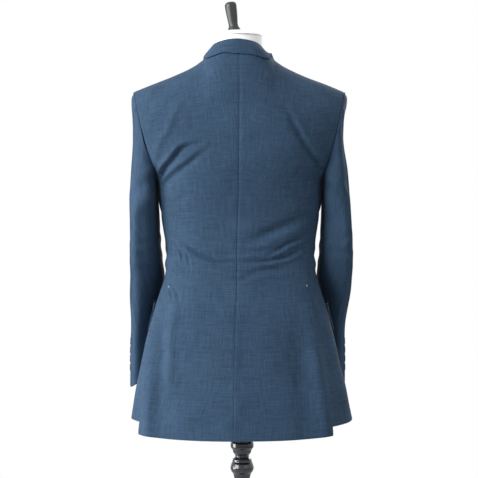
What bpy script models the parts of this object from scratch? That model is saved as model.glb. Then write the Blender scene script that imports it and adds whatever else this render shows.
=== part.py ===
# A suit jacket over a waistcoat, worn on a limbless dress form that stands on a turned post.
# Metres, +Z up. The wearer's front faces -Y and the wearer's left is +X.
# The origin is on the floor, at the middle of the round base.
#
# The jacket's outside is one surface, torso_point(x, height, side), from a table of level
# sections and a table of the shoulder line. Each panel is the stretch of it between two seams.

import math

import bmesh
import bpy
from mathutils import Matrix, Vector

COLLECTION = "suit_jacket_and_waistcoat_on_dress_form"
BACK = 1
FRONT = -1
SIDES = {"left": 1, "right": -1}

# Cloth
JACKET_WALL = 0.002
WAISTCOAT_WALL = 0.0015
GAP = 0.0003
WAISTCOAT_INSET = 0.0055
WAISTCOAT_FRONT_INSET = 0.006
WAIST_INSET = 0.0045
NECK_INSET = 0.0056
SHOULDER_RISE = 0.0026
VENT_STEP = JACKET_WALL + 3 * GAP
OVERLAP_EDGE = 0.024
OVERLAP_FADE = 0.040

# Levels
BACK_HEM = 0.700
SIDE_HEM = {"left": 0.730, "right": 0.722}
BACK_HEM_RISE = 0.006
FRONT_HEM = 0.735
TACK_LEVEL = 1.005
UNDERARM = 1.235
SIDE_TOP = 1.262
CAP_START = 1.33
CAP_RISE = 0.15
RIDGE_TOP = CAP_START + CAP_RISE
# Every panel has a row of points at each of these heights above its hem, so that seams match
ROW_HEIGHTS = (
    (0.75, 0.80, 0.85, 0.90, 0.95, TACK_LEVEL, 1.035, 1.065, 1.10, 1.145, 1.19)
    + (UNDERARM, SIDE_TOP, 1.295, CAP_START, 1.36, 1.39, 1.42, 1.45, RIDGE_TOP)
)
NECK_X = 0.0774
WAISTCOAT_NECK_X = 0.089
RIDGE_Y = -0.005
CURVE_POWER = 2.4
LEAN = 0.0085
LEAN_FROM = 0.65

# Buttons: radius, thickness
FRONT_BUTTON = (0.010, 0.0035)
SLEEVE_BUTTON = (0.0075, 0.003)
WAISTCOAT_BUTTON = (0.0075, 0.003)
BUTTON_SIDES = 16

# Stand
FORM_SIDES = 32
FORM_POWER = 2.2
TURNED_STEPS = 24
FINIAL_TILT = math.radians(8)
FINIAL_PLACE = Vector((0.009, -0.004, 1.5542))


class Table:
    """Rows under named columns. Any column is read smoothly by the value of the first."""

    def __init__(self, columns, *rows):
        self.columns = columns.split()
        self.rows = rows

    def slope(self, index, place):
        before = self.rows[max(place - 1, 0)]
        after = self.rows[min(place + 1, len(self.rows) - 1)]
        return (after[index] - before[index]) / (after[0] - before[0])

    def read(self, column, key):
        index = self.columns.index(column)
        key = min(max(key, self.rows[0][0]), self.rows[-1][0])
        place = 0
        while place < len(self.rows) - 2 and key > self.rows[place + 1][0]:
            place += 1
        low, high = self.rows[place], self.rows[place + 1]
        span = high[0] - low[0]
        t = (key - low[0]) / span
        rise = (3 - 2 * t) * t * t
        start = self.slope(index, place) * span * t * (1 - t) ** 2
        end = self.slope(index, place + 1) * span * t * t * (t - 1)
        return low[index] * (1 - rise) + high[index] * rise + start + end


# Level sections of the jacket's outside: half its width, and its depth behind and in front
BODY = Table(
    "z half_width back front",
    (0.69, 0.2440, 0.148, 0.128),
    (0.76, 0.2320, 0.142, 0.126),
    (0.84, 0.2155, 0.134, 0.123),
    (0.92, 0.1970, 0.122, 0.120),
    (0.97, 0.1835, 0.110, 0.118),
    (1.00, 0.1735, 0.101, 0.117),
    (1.035, 0.1630, 0.093, 0.116),
    (1.09, 0.1590, 0.086, 0.116),
    (1.135, 0.1645, 0.089, 0.119),
    (1.17, 0.1704, 0.094, 0.123),
    (1.20, 0.1736, 0.099, 0.126),
    (1.235, 0.1770, 0.106, 0.129),
    (1.27, 0.2010, 0.111, 0.130),
    (1.31, 0.2220, 0.114, 0.129),
    (1.36, 0.2360, 0.115, 0.124),
    (1.43, 0.2430, 0.114, 0.118),
)
# The crest of the shoulders, which rises into the root of the neck
SHOULDER = Table(
    "x z",
    (0.0, 1.560),
    (0.03, 1.552),
    (0.055, 1.525),
    (0.07, 1.4995),
    (0.0774, 1.4900),
    (0.10, 1.4745),
    (0.138, 1.4570),
    (0.182, 1.4400),
    (0.2237, 1.4235),
)
NECKLINE = Table("x z", (0.0, 1.5065), (0.045, 1.503), (0.065, 1.4965), (NECK_X, 1.4900))
WAISTCOAT_NECKLINE = Table("x z", (0.0, 1.478), (0.05, 1.477), (WAISTCOAT_NECK_X, 1.4760))
# The centre-back seam wanders to the wearer's left on its way down
CENTRE_SEAM = Table(
    "z x",
    (0.70, 0.0170),
    (0.91, 0.0129),
    (1.015, 0.0084),
    (1.118, 0.0066),
    (1.21, 0.0030),
    (1.43, -0.0006),
    (1.50, -0.0010),
)
BACK_ARMHOLE = Table(
    "z x", (SIDE_TOP, 0.1815), (1.29, 0.1920), (1.32, 0.1998), (1.365, 0.2105), (1.4235, 0.2237)
)
FRONT_ARMHOLE = Table(
    "z x", (SIDE_TOP, 0.1757), (1.28, 0.1800), (1.32, 0.1890), (1.365, 0.2020), (1.4235, 0.2237)
)
# The seams of the side body, as a part of the section's half width
SIDE_SEAMS = Table(
    "z back front", (0.72, 0.880, 0.90), (1.005, 0.885, 0.90), (1.09, 0.91, 0.91), (SIDE_TOP, 0.93, 0.90)
)
# The free edges of the back below the vents' tacks
VENT_EDGE = Table(
    "z left right",
    (0.70, 0.2130, 0.1862),
    (0.735, 0.2085, 0.1832),
    (0.782, 0.1900, 0.1787),
    (0.883, 0.1690, 0.1655),
    (1.005, 0.1515, 0.1415),
)
VENT_UNDERLAP = 0.034
# The front edge: cut away to the hem, straight at the buttons, then along the lapel's roll
FRONT_EDGE = Table(
    "z x",
    (0.735, 0.1000),
    (0.755, 0.0600),
    (0.81, 0.0210),
    (0.88, -0.0050),
    (0.95, -0.0175),
    (1.05, -0.0200),
    (1.12, -0.0185),
    (1.20, 0.0020),
    (1.30, 0.0277),
    (1.40, 0.0533),
    (1.466, 0.0706),
    (1.49, 0.0774),
)
LAPEL_START = {"left": 1.125, "right": 1.175}
LAPEL_OUTER = Table(
    "z x",
    (1.12, -0.0150),
    (1.16, 0.0080),
    (1.22, 0.0420),
    (1.28, 0.0760),
    (1.33, 0.1000),
    (1.378, 0.1180),
)
GORGE_INNER_Z = 1.4350
GORGE_OUTER_Z = 1.3780
# The collar from the centre back (0) round the neck to its front end (5): the seam with the
# back and fronts, the crest of the fold, and the free edge by its place on the shoulders,
# where reach is 1 behind, 0 on the shoulder's crest and -1 in front. Skew is what the edge's
# reach differs by between the two sides, and swell lifts the middle of the fall
COLLAR = Table(
    "station seam_x seam_y seam_z fold_x fold_y fold_z edge_x edge_reach skew swell",
    (-1, -0.0440, 0.0470, 1.5054, -0.0385, 0.0470, 1.5237, -0.0500, 0.423, -0.03, 0.0020),
    (0, 0.0000, 0.0665, 1.5081, 0.0000, 0.0625, 1.5285, 0.0000, 0.492, 0.0, 0.0020),
    (1, 0.0440, 0.0470, 1.5054, 0.0385, 0.0470, 1.5237, 0.0500, 0.423, 0.03, 0.0020),
    (2, 0.0655, 0.0190, 1.4994, 0.0578, 0.0190, 1.5125, 0.0740, 0.235, 0.06, 0.0010),
    (3, 0.0718, -0.0070, 1.4915, 0.0640, -0.0080, 1.5025, 0.0835, -0.030, 0.03, 0.0012),
    (4, 0.0655, -0.0640, 1.4700, 0.0635, -0.0640, 1.4830, 0.1020, -0.340, 0.0, 0.0032),
    (5, 0.0550, -0.0960, 1.4410, 0.0560, -0.1005, 1.4500, 0.1080, -0.600, 0.0, 0.0015),
)
COLLAR_SHIFT = 0.0055
COLLAR_STATIONS = 5
# Level sections of each sleeve: its outer and inner x, the middle of its depth and half that
SLEEVES = {
    "left": Table(
        "z outer inner middle half_depth",
        (0.77, 0.2470, 0.1930, -0.1600, 0.063),
        (0.854, 0.2440, 0.1900, -0.1350, 0.065),
        (0.925, 0.2395, 0.1850, -0.1040, 0.068),
        (0.995, 0.2380, 0.1720, -0.0700, 0.071),
        (1.03, 0.2381, 0.1670, -0.0550, 0.0725),
        (1.065, 0.2382, 0.1710, -0.0400, 0.074),
        (1.134, 0.2350, 0.1755, -0.0250, 0.077),
        (1.20, 0.2325, 0.1768, -0.0160, 0.076),
        (1.253, 0.2290, 0.1812, -0.0120, 0.073),
        (1.32, 0.2240, 0.1850, -0.0100, 0.067),
        (1.37, 0.2262, 0.1900, -0.0100, 0.060),
        (1.41, 0.2290, 0.1950, -0.0090, 0.050),
    ),
    "right": Table(
        "z outer inner middle half_depth",
        (0.77, 0.2300, 0.1790, -0.1680, 0.063),
        (0.854, 0.2290, 0.1790, -0.1450, 0.065),
        (0.925, 0.2272, 0.1795, -0.1160, 0.068),
        (0.995, 0.2370, 0.1725, -0.0760, 0.071),
        (1.03, 0.2385, 0.1680, -0.0585, 0.0725),
        (1.065, 0.2395, 0.1705, -0.0410, 0.074),
        (1.134, 0.2375, 0.1755, -0.0250, 0.077),
        (1.20, 0.2310, 0.1772, -0.0160, 0.076),
        (1.253, 0.2262, 0.1812, -0.0120, 0.073),
        (1.32, 0.2198, 0.1850, -0.0100, 0.067),
        (1.37, 0.2225, 0.1900, -0.0100, 0.060),
        (1.41, 0.2275, 0.1950, -0.0090, 0.050),
    ),
}
CUFF_LEVEL = 0.812
CUFF_TILT = 0.028
CUFF_TURN = math.radians(45)
SLEEVE_OFFSET = 0.0007
# The section's corners: oval at the forearm, squarer at the upper arm
SLEEVE_POWER = 2.8
HIND_SEAM = math.radians(56)
HIND_SKEW = 0.40
FORE_SEAM = HIND_SEAM + math.pi
SLEEVE_BUTTON_LEVELS = (0.826, 0.846, 0.866, 0.886)
SLEEVE_BUTTON_TURN = math.radians(27)
JACKET_BUTTON_LEVELS = (1.095, 0.985)
# Flaps over the hip pockets, by angle round the section from the centre back
FLAP_ANGLES = (math.radians(95), math.radians(146))
FLAP_LEVELS = (0.972, 0.915)
FLAP_DROP = 0.006

WAISTCOAT_EDGE = Table(
    "z x",
    (0.930, 0.0400),
    (0.955, 0.0120),
    (0.985, -0.0090),
    (1.20, -0.0100),
    (1.23, 0.0020),
    (1.36, 0.0450),
    (1.479, 0.0890),
)
WAISTCOAT_ARMHOLE = Table(
    "z x", (1.19, 0.1600), (1.23, 0.1560), (1.30, 0.1470), (1.38, 0.1400), (1.46, 0.1360)
)
WAISTCOAT_SIDE_TOP = 1.19
WAISTCOAT_SIDE_HEM = 0.985
WAISTCOAT_BUTTON_LEVELS = (1.005, 1.05, 1.095, 1.14, 1.185)

# Level sections of the dress form, from its flat underside to the top of the neck
FORM = Table(
    "z half_width back front",
    (0.80, 0.148, 0.104, 0.094),
    (0.87, 0.161, 0.111, 0.098),
    (0.94, 0.163, 0.101, 0.097),
    (1.00, 0.156, 0.086, 0.097),
    (1.05, 0.148, 0.077, 0.098),
    (1.10, 0.1475, 0.075, 0.100),
    (1.17, 0.155, 0.083, 0.105),
    (1.235, 0.163, 0.095, 0.112),
    (1.30, 0.175, 0.101, 0.113),
    (1.345, 0.181, 0.102, 0.109),
    (1.385, 0.181, 0.101, 0.101),
    (1.41, 0.172, 0.093, 0.092),
    (1.43, 0.154, 0.082, 0.081),
    (1.445, 0.134, 0.072, 0.072),
    (1.455, 0.110, 0.067, 0.066),
    (1.465, 0.086, 0.063, 0.062),
    (1.478, 0.073, 0.064, 0.062),
    (1.495, 0.0575, 0.057, 0.056),
    (1.515, 0.0515, 0.0515, 0.051),
    (1.541, 0.0500, 0.0500, 0.0495),
)

# Turned profiles as (radius, z), top to bottom
NECK_CAP = ((0.0, 1.5525), (0.032, 1.5515), (0.0455, 1.5475), (0.0500, 1.5420), (0.0500, 1.5413), (0.0, 1.5413))
FINIAL = (
    (0.0, 0.0625),
    (0.0095, 0.0610),
    (0.0128, 0.0570),
    (0.0130, 0.0520),
    (0.0122, 0.0360),
    (0.0102, 0.0150),
    (0.0106, 0.0090),
    (0.0142, 0.0025),
    (0.0142, 0.0),
    (0.0, 0.0),
)
POST = (
    (0.0, 0.7997),
    (0.0300, 0.7997),
    (0.0300, 0.7940),
    (0.0150, 0.7900),
    (0.0150, 0.6860),
    (0.0225, 0.6800),
    (0.0246, 0.6755),
    (0.0246, 0.6670),
    (0.0205, 0.6620),
    (0.0187, 0.6550),
    (0.0146, 0.6500),
    (0.0146, 0.6460),
    (0.0203, 0.6420),
    (0.0203, 0.6370),
    (0.0225, 0.6330),
    (0.0253, 0.6230),
    (0.0225, 0.6150),
    (0.0190, 0.6110),
    (0.0167, 0.6020),
    (0.0150, 0.5600),
    (0.0180, 0.4200),
    (0.0215, 0.2900),
    (0.0180, 0.2000),
    (0.0150, 0.1700),
    (0.0245, 0.1550),
    (0.0245, 0.1450),
    (0.0170, 0.1300),
    (0.0230, 0.0950),
    (0.0300, 0.0803),
    (0.0, 0.0803),
)
BASE = (
    (0.0, 0.0800),
    (0.0320, 0.0800),
    (0.0450, 0.0720),
    (0.0500, 0.0560),
    (0.0900, 0.0420),
    (0.1500, 0.0320),
    (0.1720, 0.0270),
    (0.1800, 0.0180),
    (0.1800, 0.0040),
    (0.1760, 0.0),
    (0.0, 0.0),
)

# Colour, roughness and metallic of each finish
FINISHES = {
    "navy_worsted": ((0.050, 0.094, 0.162), 0.85, 0.0),
    "horn_button": ((0.010, 0.012, 0.018), 0.35, 0.0),
    "white_form": ((0.86, 0.86, 0.85), 0.60, 0.0),
    "black_lacquer": ((0.008, 0.010, 0.012), 0.15, 0.0),
    "dark_finial": ((0.022, 0.026, 0.023), 0.40, 0.0),
}


def finish(name):
    colour, roughness, metallic = FINISHES[name]
    material = bpy.data.materials.get(name) or bpy.data.materials.new(name)
    material.use_nodes = True
    shader = material.node_tree.nodes["Principled BSDF"]
    shader.inputs["Base Color"].default_value = (*colour, 1)
    shader.inputs["Roughness"].default_value = roughness
    shader.inputs["Metallic"].default_value = metallic
    return material


def ease(value):
    value = min(max(value, 0), 1)
    return value * value * (3 - 2 * value)


def mix(start, end, share):
    return start + (end - start) * share


def leaned(point):
    """The form stands a little out of true, towards the wearer's left."""
    return Vector((point.x + (point.z - LEAN_FROM) * LEAN, point.y, point.z))


def signed_power(value, power):
    return math.copysign(abs(value) ** power, value)


# The jacket's outer surface


def shoulder_level(x, inset):
    return SHOULDER.read("z", abs(x)) - inset


def level_of(x, height, inset=0):
    if height <= CAP_START:
        return height
    turn = (height - CAP_START) / CAP_RISE * math.pi / 2
    return CAP_START + (shoulder_level(x, inset) - CAP_START) * math.sin(turn)


def height_of(x, z, inset=0):
    if z <= CAP_START:
        return z
    share = min((z - CAP_START) / (shoulder_level(x, inset) - CAP_START), 1)
    return CAP_START + CAP_RISE * math.asin(share) / (math.pi / 2)


def torso_point(x, height, side, inset=0):
    """A point behind (side 1) or in front (side -1). Over CAP_START, height runs up an arc to
    the crest of the shoulder, which it reaches at RIDGE_TOP."""
    z = level_of(x, height, inset)
    half_width = BODY.read("half_width", z) - inset
    depth = BODY.read("back" if side == BACK else "front", z) - inset
    reach = depth * max(1 - min(abs(x) / half_width, 1) ** CURVE_POWER, 0) ** (1 / CURVE_POWER)
    drop = 1.0
    if height > CAP_START:
        drop = math.cos((height - CAP_START) / CAP_RISE * math.pi / 2)
    y = mix(RIDGE_Y, side * reach, drop) if height > CAP_START else side * reach
    return Vector((x, y + side * GAP / 2, z))


def torso_normal(x, height, side, inset=0):
    step = 0.0015
    up = torso_point(x, min(height + step, RIDGE_TOP), side, inset)
    up -= torso_point(x, height - step, side, inset)
    across = torso_point(x + step, height, side, inset) - torso_point(x - step, height, side, inset)
    normal = across.cross(up).normalized()
    return normal if side == FRONT else -normal


def raised(x, height, side, lift, inset=0):
    return torso_point(x, height, side, inset) + torso_normal(x, height, side, inset) * lift


def round_point(angle, z, inset=0):
    """A point of a level section by its angle: 0 behind, half a turn in front."""
    half_width = BODY.read("half_width", z) - inset
    depth = BODY.read("back" if math.cos(angle) > 0 else "front", z) - inset
    x = half_width * signed_power(math.sin(angle), 2 / CURVE_POWER)
    y = depth * signed_power(math.cos(angle), 2 / CURVE_POWER)
    return Vector((x, y, z))


def round_raised(angle, z, lift, inset=0):
    step = 0.01
    around = round_point(angle + step, z, inset) - round_point(angle - step, z, inset)
    up = round_point(angle, z + 0.005, inset) - round_point(angle, z - 0.005, inset)
    return round_point(angle, z, inset) + up.cross(around).normalized() * lift


def section_turn(x, half_width):
    """The angle across a section that places x, so that points lie evenly along the cloth."""
    return math.asin(min(max(signed_power(x / half_width, CURVE_POWER / 2), -1), 1))


def across(x_start, x_end, half_width, share):
    turn = mix(section_turn(x_start, half_width), section_turn(x_end, half_width), share)
    return half_width * signed_power(math.sin(turn), 2 / CURVE_POWER)


# Edges of the panels


def armhole_x(height, table):
    """Where a row at this height meets the armhole."""
    x = table.rows[0][1]
    for _ in range(12):
        x = table.read("x", level_of(x, height))
    return x


def back_edge(height, name):
    if height < TACK_LEVEL:
        return VENT_EDGE.read(name, height)
    if height < SIDE_TOP:
        half_width = BODY.read("half_width", height)
        seam = SIDE_SEAMS.read("back", height) * half_width
        tack = VENT_EDGE.read(name, TACK_LEVEL)
        return mix(tack, seam, ease((height - TACK_LEVEL) / 0.05)) - GAP / 2
    return armhole_x(height, BACK_ARMHOLE)


def front_outer(height):
    if height < SIDE_TOP:
        return SIDE_SEAMS.read("front", height) * BODY.read("half_width", height) - GAP / 2
    return armhole_x(height, FRONT_ARMHOLE)


def neck_height(x, height, neckline, inset=0):
    """Rows near the neck are drawn down so that the top row follows the neckline."""
    if abs(x) >= neckline.rows[-1][0] or height <= CAP_START:
        return height
    top = height_of(x, neckline.read("z", abs(x)), inset)
    return CAP_START + (height - CAP_START) * (top - CAP_START) / CAP_RISE


def overlap_share(x, height, top):
    """How far the left front has come up to lie on the right one, which it laps below top."""
    return ease((OVERLAP_FADE - x) / (OVERLAP_FADE - OVERLAP_EDGE)) * (1 - ease((height - top) / 0.05))


def left_front_lift(x, height):
    return (JACKET_WALL + 2 * GAP) * overlap_share(x, height, 1.20)


# Cloth


def cloth(name, columns, rows, outer, wall, material, inside=False, inner=None):
    """A closed shell: the grid outer(u, v), and the same grid a wall's thickness behind it."""
    mesh_data = bmesh.new()
    bmesh.ops.create_grid(mesh_data, x_segments=columns, y_segments=rows, size=0.5)
    layer_u = mesh_data.verts.layers.float.new("u")
    layer_v = mesh_data.verts.layers.float.new("v")
    for vert in mesh_data.verts:
        vert[layer_u] = min(max(vert.co.x + 0.5, 0), 1)
        vert[layer_v] = min(max(vert.co.y + 0.5, 0), 1)
    outside = list(mesh_data.verts)
    made = bmesh.ops.extrude_face_region(mesh_data, geom=mesh_data.faces[:], use_keep_orig=True)
    behind = [item for item in made["geom"] if isinstance(item, bmesh.types.BMVert)]
    step = 0.004
    for vert in outside + behind:
        u, v = vert[layer_u], vert[layer_v]
        vert.co = inner(u, v) if inner and vert in behind else outer(u, v)
        if vert in behind and not inner:
            along = outer(min(u + step, 1), v) - outer(max(u - step, 0), v)
            up = outer(u, min(v + step, 1)) - outer(u, max(v - step, 0))
            normal = along.cross(up).normalized()
            vert.co += normal * (wall if inside else -wall)
    for vert in mesh_data.verts:
        vert.co = leaned(vert.co)
    bmesh.ops.recalc_face_normals(mesh_data, faces=mesh_data.faces[:])
    if mesh_data.calc_volume(signed=True) < 0:
        bmesh.ops.reverse_faces(mesh_data, faces=mesh_data.faces[:])
    add_object(name, mesh_data, material)


def add_object(name, mesh_data, material):
    mesh = bpy.data.meshes.new(name)
    mesh_data.to_mesh(mesh)
    mesh_data.free()
    mesh.materials.append(finish(material))
    mesh.shade_smooth()
    mesh.set_sharp_from_angle(angle=math.radians(40))
    bpy.data.collections[COLLECTION].objects.link(bpy.data.objects.new(name, mesh))


def rows_above(hem, top=RIDGE_TOP):
    return [hem] + [height for height in ROW_HEIGHTS if hem + 0.01 < height <= top]


def row_height(rows, v):
    place = min(int(v * (len(rows) - 1)), len(rows) - 2)
    return mix(rows[place], rows[place + 1], v * (len(rows) - 1) - place)


def jacket_back(name):
    sign = SIDES[name]
    rows = rows_above(BACK_HEM)

    def outer(u, v):
        height = row_height(rows, v)
        height += BACK_HEM_RISE * u * u * max(1 - v * (len(rows) - 1), 0)
        z_guess = min(height, 1.42)
        edge = back_edge(height, name)
        half_width = max(BODY.read("half_width", z_guess), edge)
        start = CENTRE_SEAM.read("x", z_guess) * sign + GAP * 0.7
        x = across(start, edge, half_width, u)
        vent = ease((TACK_LEVEL + 0.04 - height) / 0.04) * ease((u - 0.3) / 0.5)
        point = raised(x, neck_height(x, height, NECKLINE), BACK, GAP * vent)
        return Vector((point.x * sign, point.y, point.z))

    cloth(f"jacket_back_{name}", 8, len(rows) - 1, outer, JACKET_WALL, "navy_worsted", inside=sign > 0)


def jacket_side(name):
    sign = SIDES[name]
    rows = rows_above(FRONT_HEM, SIDE_TOP)
    bend = 1.19

    def outer(u, v):
        z = row_height(rows, v)
        if z > bend:
            top = UNDERARM + (2 * u - 1) ** 2 * (SIDE_TOP - UNDERARM)
            z = bend + (z - bend) * (top - bend) / (SIDE_TOP - bend)
        z -= (FRONT_HEM - SIDE_HEM[name]) * (1 - u) * max(1 - v * (len(rows) - 1), 0)
        half_width = BODY.read("half_width", z)
        if z < TACK_LEVEL:
            under = VENT_UNDERLAP * ease((TACK_LEVEL - z) / 0.05)
            start_x = VENT_EDGE.read(name, z) - under
        else:
            start_x = back_edge(z, name) + GAP if z < SIDE_TOP else BACK_ARMHOLE.rows[0][1]
        start = section_turn(start_x, half_width)
        end = math.pi - section_turn(front_outer(min(z, SIDE_TOP - GAP)) + GAP, half_width)
        tucked = ease((TACK_LEVEL + 0.06 - z) / 0.05) * (1 - ease((u - 0.55) / 0.35))
        point = round_raised(mix(start, end, u), z, -VENT_STEP * tucked)
        return Vector((point.x * sign, point.y, point.z))

    cloth(f"jacket_side_{name}", 6, len(rows) - 1, outer, JACKET_WALL, "navy_worsted", inside=sign > 0)


def front_across(start, edge, half_width, u, columns):
    """The first column spans the overlap of the fronts, and the rest share out the cloth."""
    band = max(OVERLAP_EDGE, start + 0.012)
    if u * columns <= 1:
        return mix(start, band, u * columns)
    return across(band, edge, half_width, (u * columns - 1) / (columns - 1))


def jacket_front(name):
    sign = SIDES[name]
    columns = 9
    rows = rows_above(FRONT_HEM)

    def outer(u, v):
        height = row_height(rows, v)
        edge = front_outer(height)
        half_width = max(BODY.read("half_width", min(height, 1.42)), edge)
        start = FRONT_EDGE.read("x", level_of(NECK_X, height))
        x = front_across(start, edge, half_width, u, columns)
        lift = left_front_lift(x, height) if name == "left" else 0
        point = raised(x, height, FRONT, lift)
        return Vector((point.x * sign, point.y, point.z))

    cloth(f"jacket_front_{name}", columns, len(rows) - 1, outer, JACKET_WALL, "navy_worsted", inside=sign < 0)


def jacket_lapel(name):
    sign = SIDES[name]
    bottom = LAPEL_START[name]

    def outer(u, v):
        inner_z = mix(bottom, GORGE_INNER_Z, v)
        outer_z = mix(bottom, GORGE_OUTER_Z, v)
        inner_x = FRONT_EDGE.read("x", inner_z)
        if name == "right":
            inner_x = max(inner_x, -inner_x + 4 * GAP)
        outer_x = max(LAPEL_OUTER.read("x", outer_z), inner_x + 0.004)
        x = mix(inner_x, outer_x, u)
        z = mix(inner_z, outer_z, u)
        height = height_of(x, z)
        under = left_front_lift(x, height) if name == "left" else 0
        swell = 0.0015 * math.sin(math.pi * u) + 0.0015 * ease(u * 2) * ease(v * 4)
        point = raised(x, height, FRONT, under + 2 * GAP + JACKET_WALL + swell)
        return Vector((point.x * sign, point.y, point.z))

    cloth(f"jacket_lapel_{name}", 4, 12, outer, JACKET_WALL, "navy_worsted", inside=sign < 0)


def collar_shift(station):
    """The collar sits off the middle behind, and less so towards its front ends."""
    return COLLAR_SHIFT * (1 - station / COLLAR_STATIONS)


def collar_edge(station, sign):
    reach = COLLAR.read("edge_reach", station) - COLLAR.read("skew", station) * sign
    side = BACK if reach >= 0 else FRONT
    height = RIDGE_TOP - abs(reach) * CAP_RISE
    x = COLLAR.read("edge_x", station) * sign + collar_shift(station)
    return raised(x, height, side, JACKET_WALL + 4 * GAP)


def jacket_collar():
    def outer(u, v):
        station = abs(2 * u - 1) * COLLAR_STATIONS
        sign = 1 if u < 0.5 else -1
        seam = Vector([COLLAR.read(f"seam_{axis}", station) for axis in "xyz"])
        crest = Vector([COLLAR.read(f"fold_{axis}", station) for axis in "xyz"])
        seam.x *= sign
        crest.x = crest.x * sign + collar_shift(station)
        edge = collar_edge(station, sign)
        away = Vector((edge.x - crest.x, edge.y - crest.y, 0)).normalized()
        depth = min(0.0032, (crest - seam).length * 0.4)
        below = Vector((0, 0, -0.0025))
        fold_in = crest - away * depth + below
        fold_out = crest + away * depth + below
        swell = (away + Vector((0, 0, 1))) * COLLAR.read("swell", station)
        spine = (
            seam,
            seam.lerp(fold_in, 0.6),
            fold_in,
            crest,
            fold_out,
            fold_out.lerp(edge, 0.5) + swell,
            edge,
        )
        place = min(int(v * 6), 5)
        return spine[place].lerp(spine[place + 1], v * 6 - place)

    cloth("jacket_collar", 24, 6, outer, JACKET_WALL, "navy_worsted", inside=True)


# Sleeves


def armhole_point(turn):
    """The armhole seam by turn: 0 at the shoulder, a quarter behind, half at the underarm."""
    middle = (SHOULDER.rows[-1][1] + UNDERARM) / 2
    z = middle + (SHOULDER.rows[-1][1] - UNDERARM) / 2 * math.cos(turn)
    side = BACK if math.sin(turn) >= 0 else FRONT
    if z >= SIDE_TOP:
        table = BACK_ARMHOLE if side == BACK else FRONT_ARMHOLE
        x = table.read("x", z)
        point = torso_point(x, height_of(x, z), side)
    else:
        share = math.sqrt(max(z - UNDERARM, 0) / (SIDE_TOP - UNDERARM))
        edge_x = BACK_ARMHOLE.rows[0][1] if side == BACK else FRONT_ARMHOLE.rows[0][1]
        end = section_turn(edge_x, BODY.read("half_width", SIDE_TOP))
        angle = mix(math.pi / 2, end if side == BACK else math.pi - end, share)
        point = round_point(angle, z)
    return point + Vector((SLEEVE_OFFSET, 0, 0))


def cuff_level(turn):
    return CUFF_LEVEL - CUFF_TILT * math.sin(turn + CUFF_TURN)


def sleeve_point(name, turn, share, wall=0):
    table = SLEEVES[name]
    start = armhole_point(turn)
    cuff = cuff_level(turn)
    z = mix(start.z, cuff, share)
    under = (1 - math.cos(turn)) / 2
    start += Vector((under, -math.sin(turn), under - 1)).normalized() * wall
    outer, inner = table.read("outer", z) - wall, table.read("inner", z) + wall
    middle, half_depth = table.read("middle", z), table.read("half_depth", z) - wall
    skewed = turn - HIND_SKEW * max(math.sin(turn), 0)
    squared = 2 / mix(2, SLEEVE_POWER, ease((z - 1.0) / 0.10))
    x = mix(inner, outer, (1 + signed_power(math.cos(skewed), squared)) / 2)
    y = middle + half_depth * signed_power(math.sin(turn), squared)
    merge = ease((armhole_point(turn).z - z) / mix(0.10, 0.035, abs(math.cos(turn))))
    return Vector((mix(start.x, x, merge), mix(start.y, y, merge), mix(start.z, z, merge)))


def sleeve_piece(name, piece, start, end, columns):
    sign = SIDES[name]
    gap_turn = GAP / 0.04

    def at(u, v, wall):
        turn = mix(start + gap_turn, end - gap_turn, u)
        point = sleeve_point(name, turn, v ** 1.15, wall)
        return Vector((point.x * sign, point.y, point.z))

    def outer(u, v):
        return at(u, v, 0)

    def inner(u, v):
        return at(u, v, JACKET_WALL)

    cloth(f"jacket_sleeve_{piece}_{name}", columns, 14, outer, JACKET_WALL, "navy_worsted", inner=inner)


# Flaps, buttons and waistcoat


def jacket_flap(name):
    sign = SIDES[name]

    def outer(u, v):
        angle = mix(*FLAP_ANGLES, u)
        top = FLAP_LEVELS[0] - FLAP_DROP * u
        bottom = FLAP_LEVELS[1] - FLAP_DROP * u
        z = mix(bottom, top, v)
        standing = 0.0035 * (1 - u) ** 3 * v * v + 0.0010 * (1 - v)
        point = round_raised(angle, z, JACKET_WALL + 2 * GAP + standing)
        return Vector((point.x * sign, point.y, point.z))

    cloth(f"jacket_flap_{name}", 6, 3, outer, JACKET_WALL, "navy_worsted", inside=sign > 0)


def button(name, place, facing, size):
    radius, thickness = size
    mesh_data = bmesh.new()
    bmesh.ops.create_cone(
        mesh_data,
        cap_ends=True,
        segments=BUTTON_SIDES,
        radius1=radius,
        radius2=radius * 0.9,
        depth=thickness,
    )
    turn = Vector((0, 0, 1)).rotation_difference(facing)
    middle = place + facing * (thickness / 2)
    matrix = Matrix.Translation(leaned(middle)) @ turn.to_matrix().to_4x4()
    bmesh.ops.transform(mesh_data, matrix=matrix, verts=mesh_data.verts)
    add_object(name, mesh_data, "horn_button")


def front_button(name, z, lift, inset, size):
    facing = torso_normal(0, z, FRONT, inset)
    sag = size[0] ** 2 / 0.3
    button(name, raised(0, z, FRONT, lift + GAP + sag, inset), facing, size)


def sleeve_button(name, number, z):
    sign = SIDES[name]
    start = armhole_point(SLEEVE_BUTTON_TURN)
    cuff = cuff_level(SLEEVE_BUTTON_TURN)
    share = (start.z - z) / (start.z - cuff)
    step = 0.03
    point = sleeve_point(name, SLEEVE_BUTTON_TURN, share)
    around = sleeve_point(name, SLEEVE_BUTTON_TURN + step, share)
    around -= sleeve_point(name, SLEEVE_BUTTON_TURN - step, share)
    down = sleeve_point(name, SLEEVE_BUTTON_TURN, share + step) - point
    facing = down.cross(around).normalized()
    if facing.x < 0:
        facing = -facing
    place = point + facing * (GAP * 1.3)
    place.x *= sign
    facing.x *= sign
    button(f"sleeve_button_{name}_{number}", place, facing, SLEEVE_BUTTON)


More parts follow.
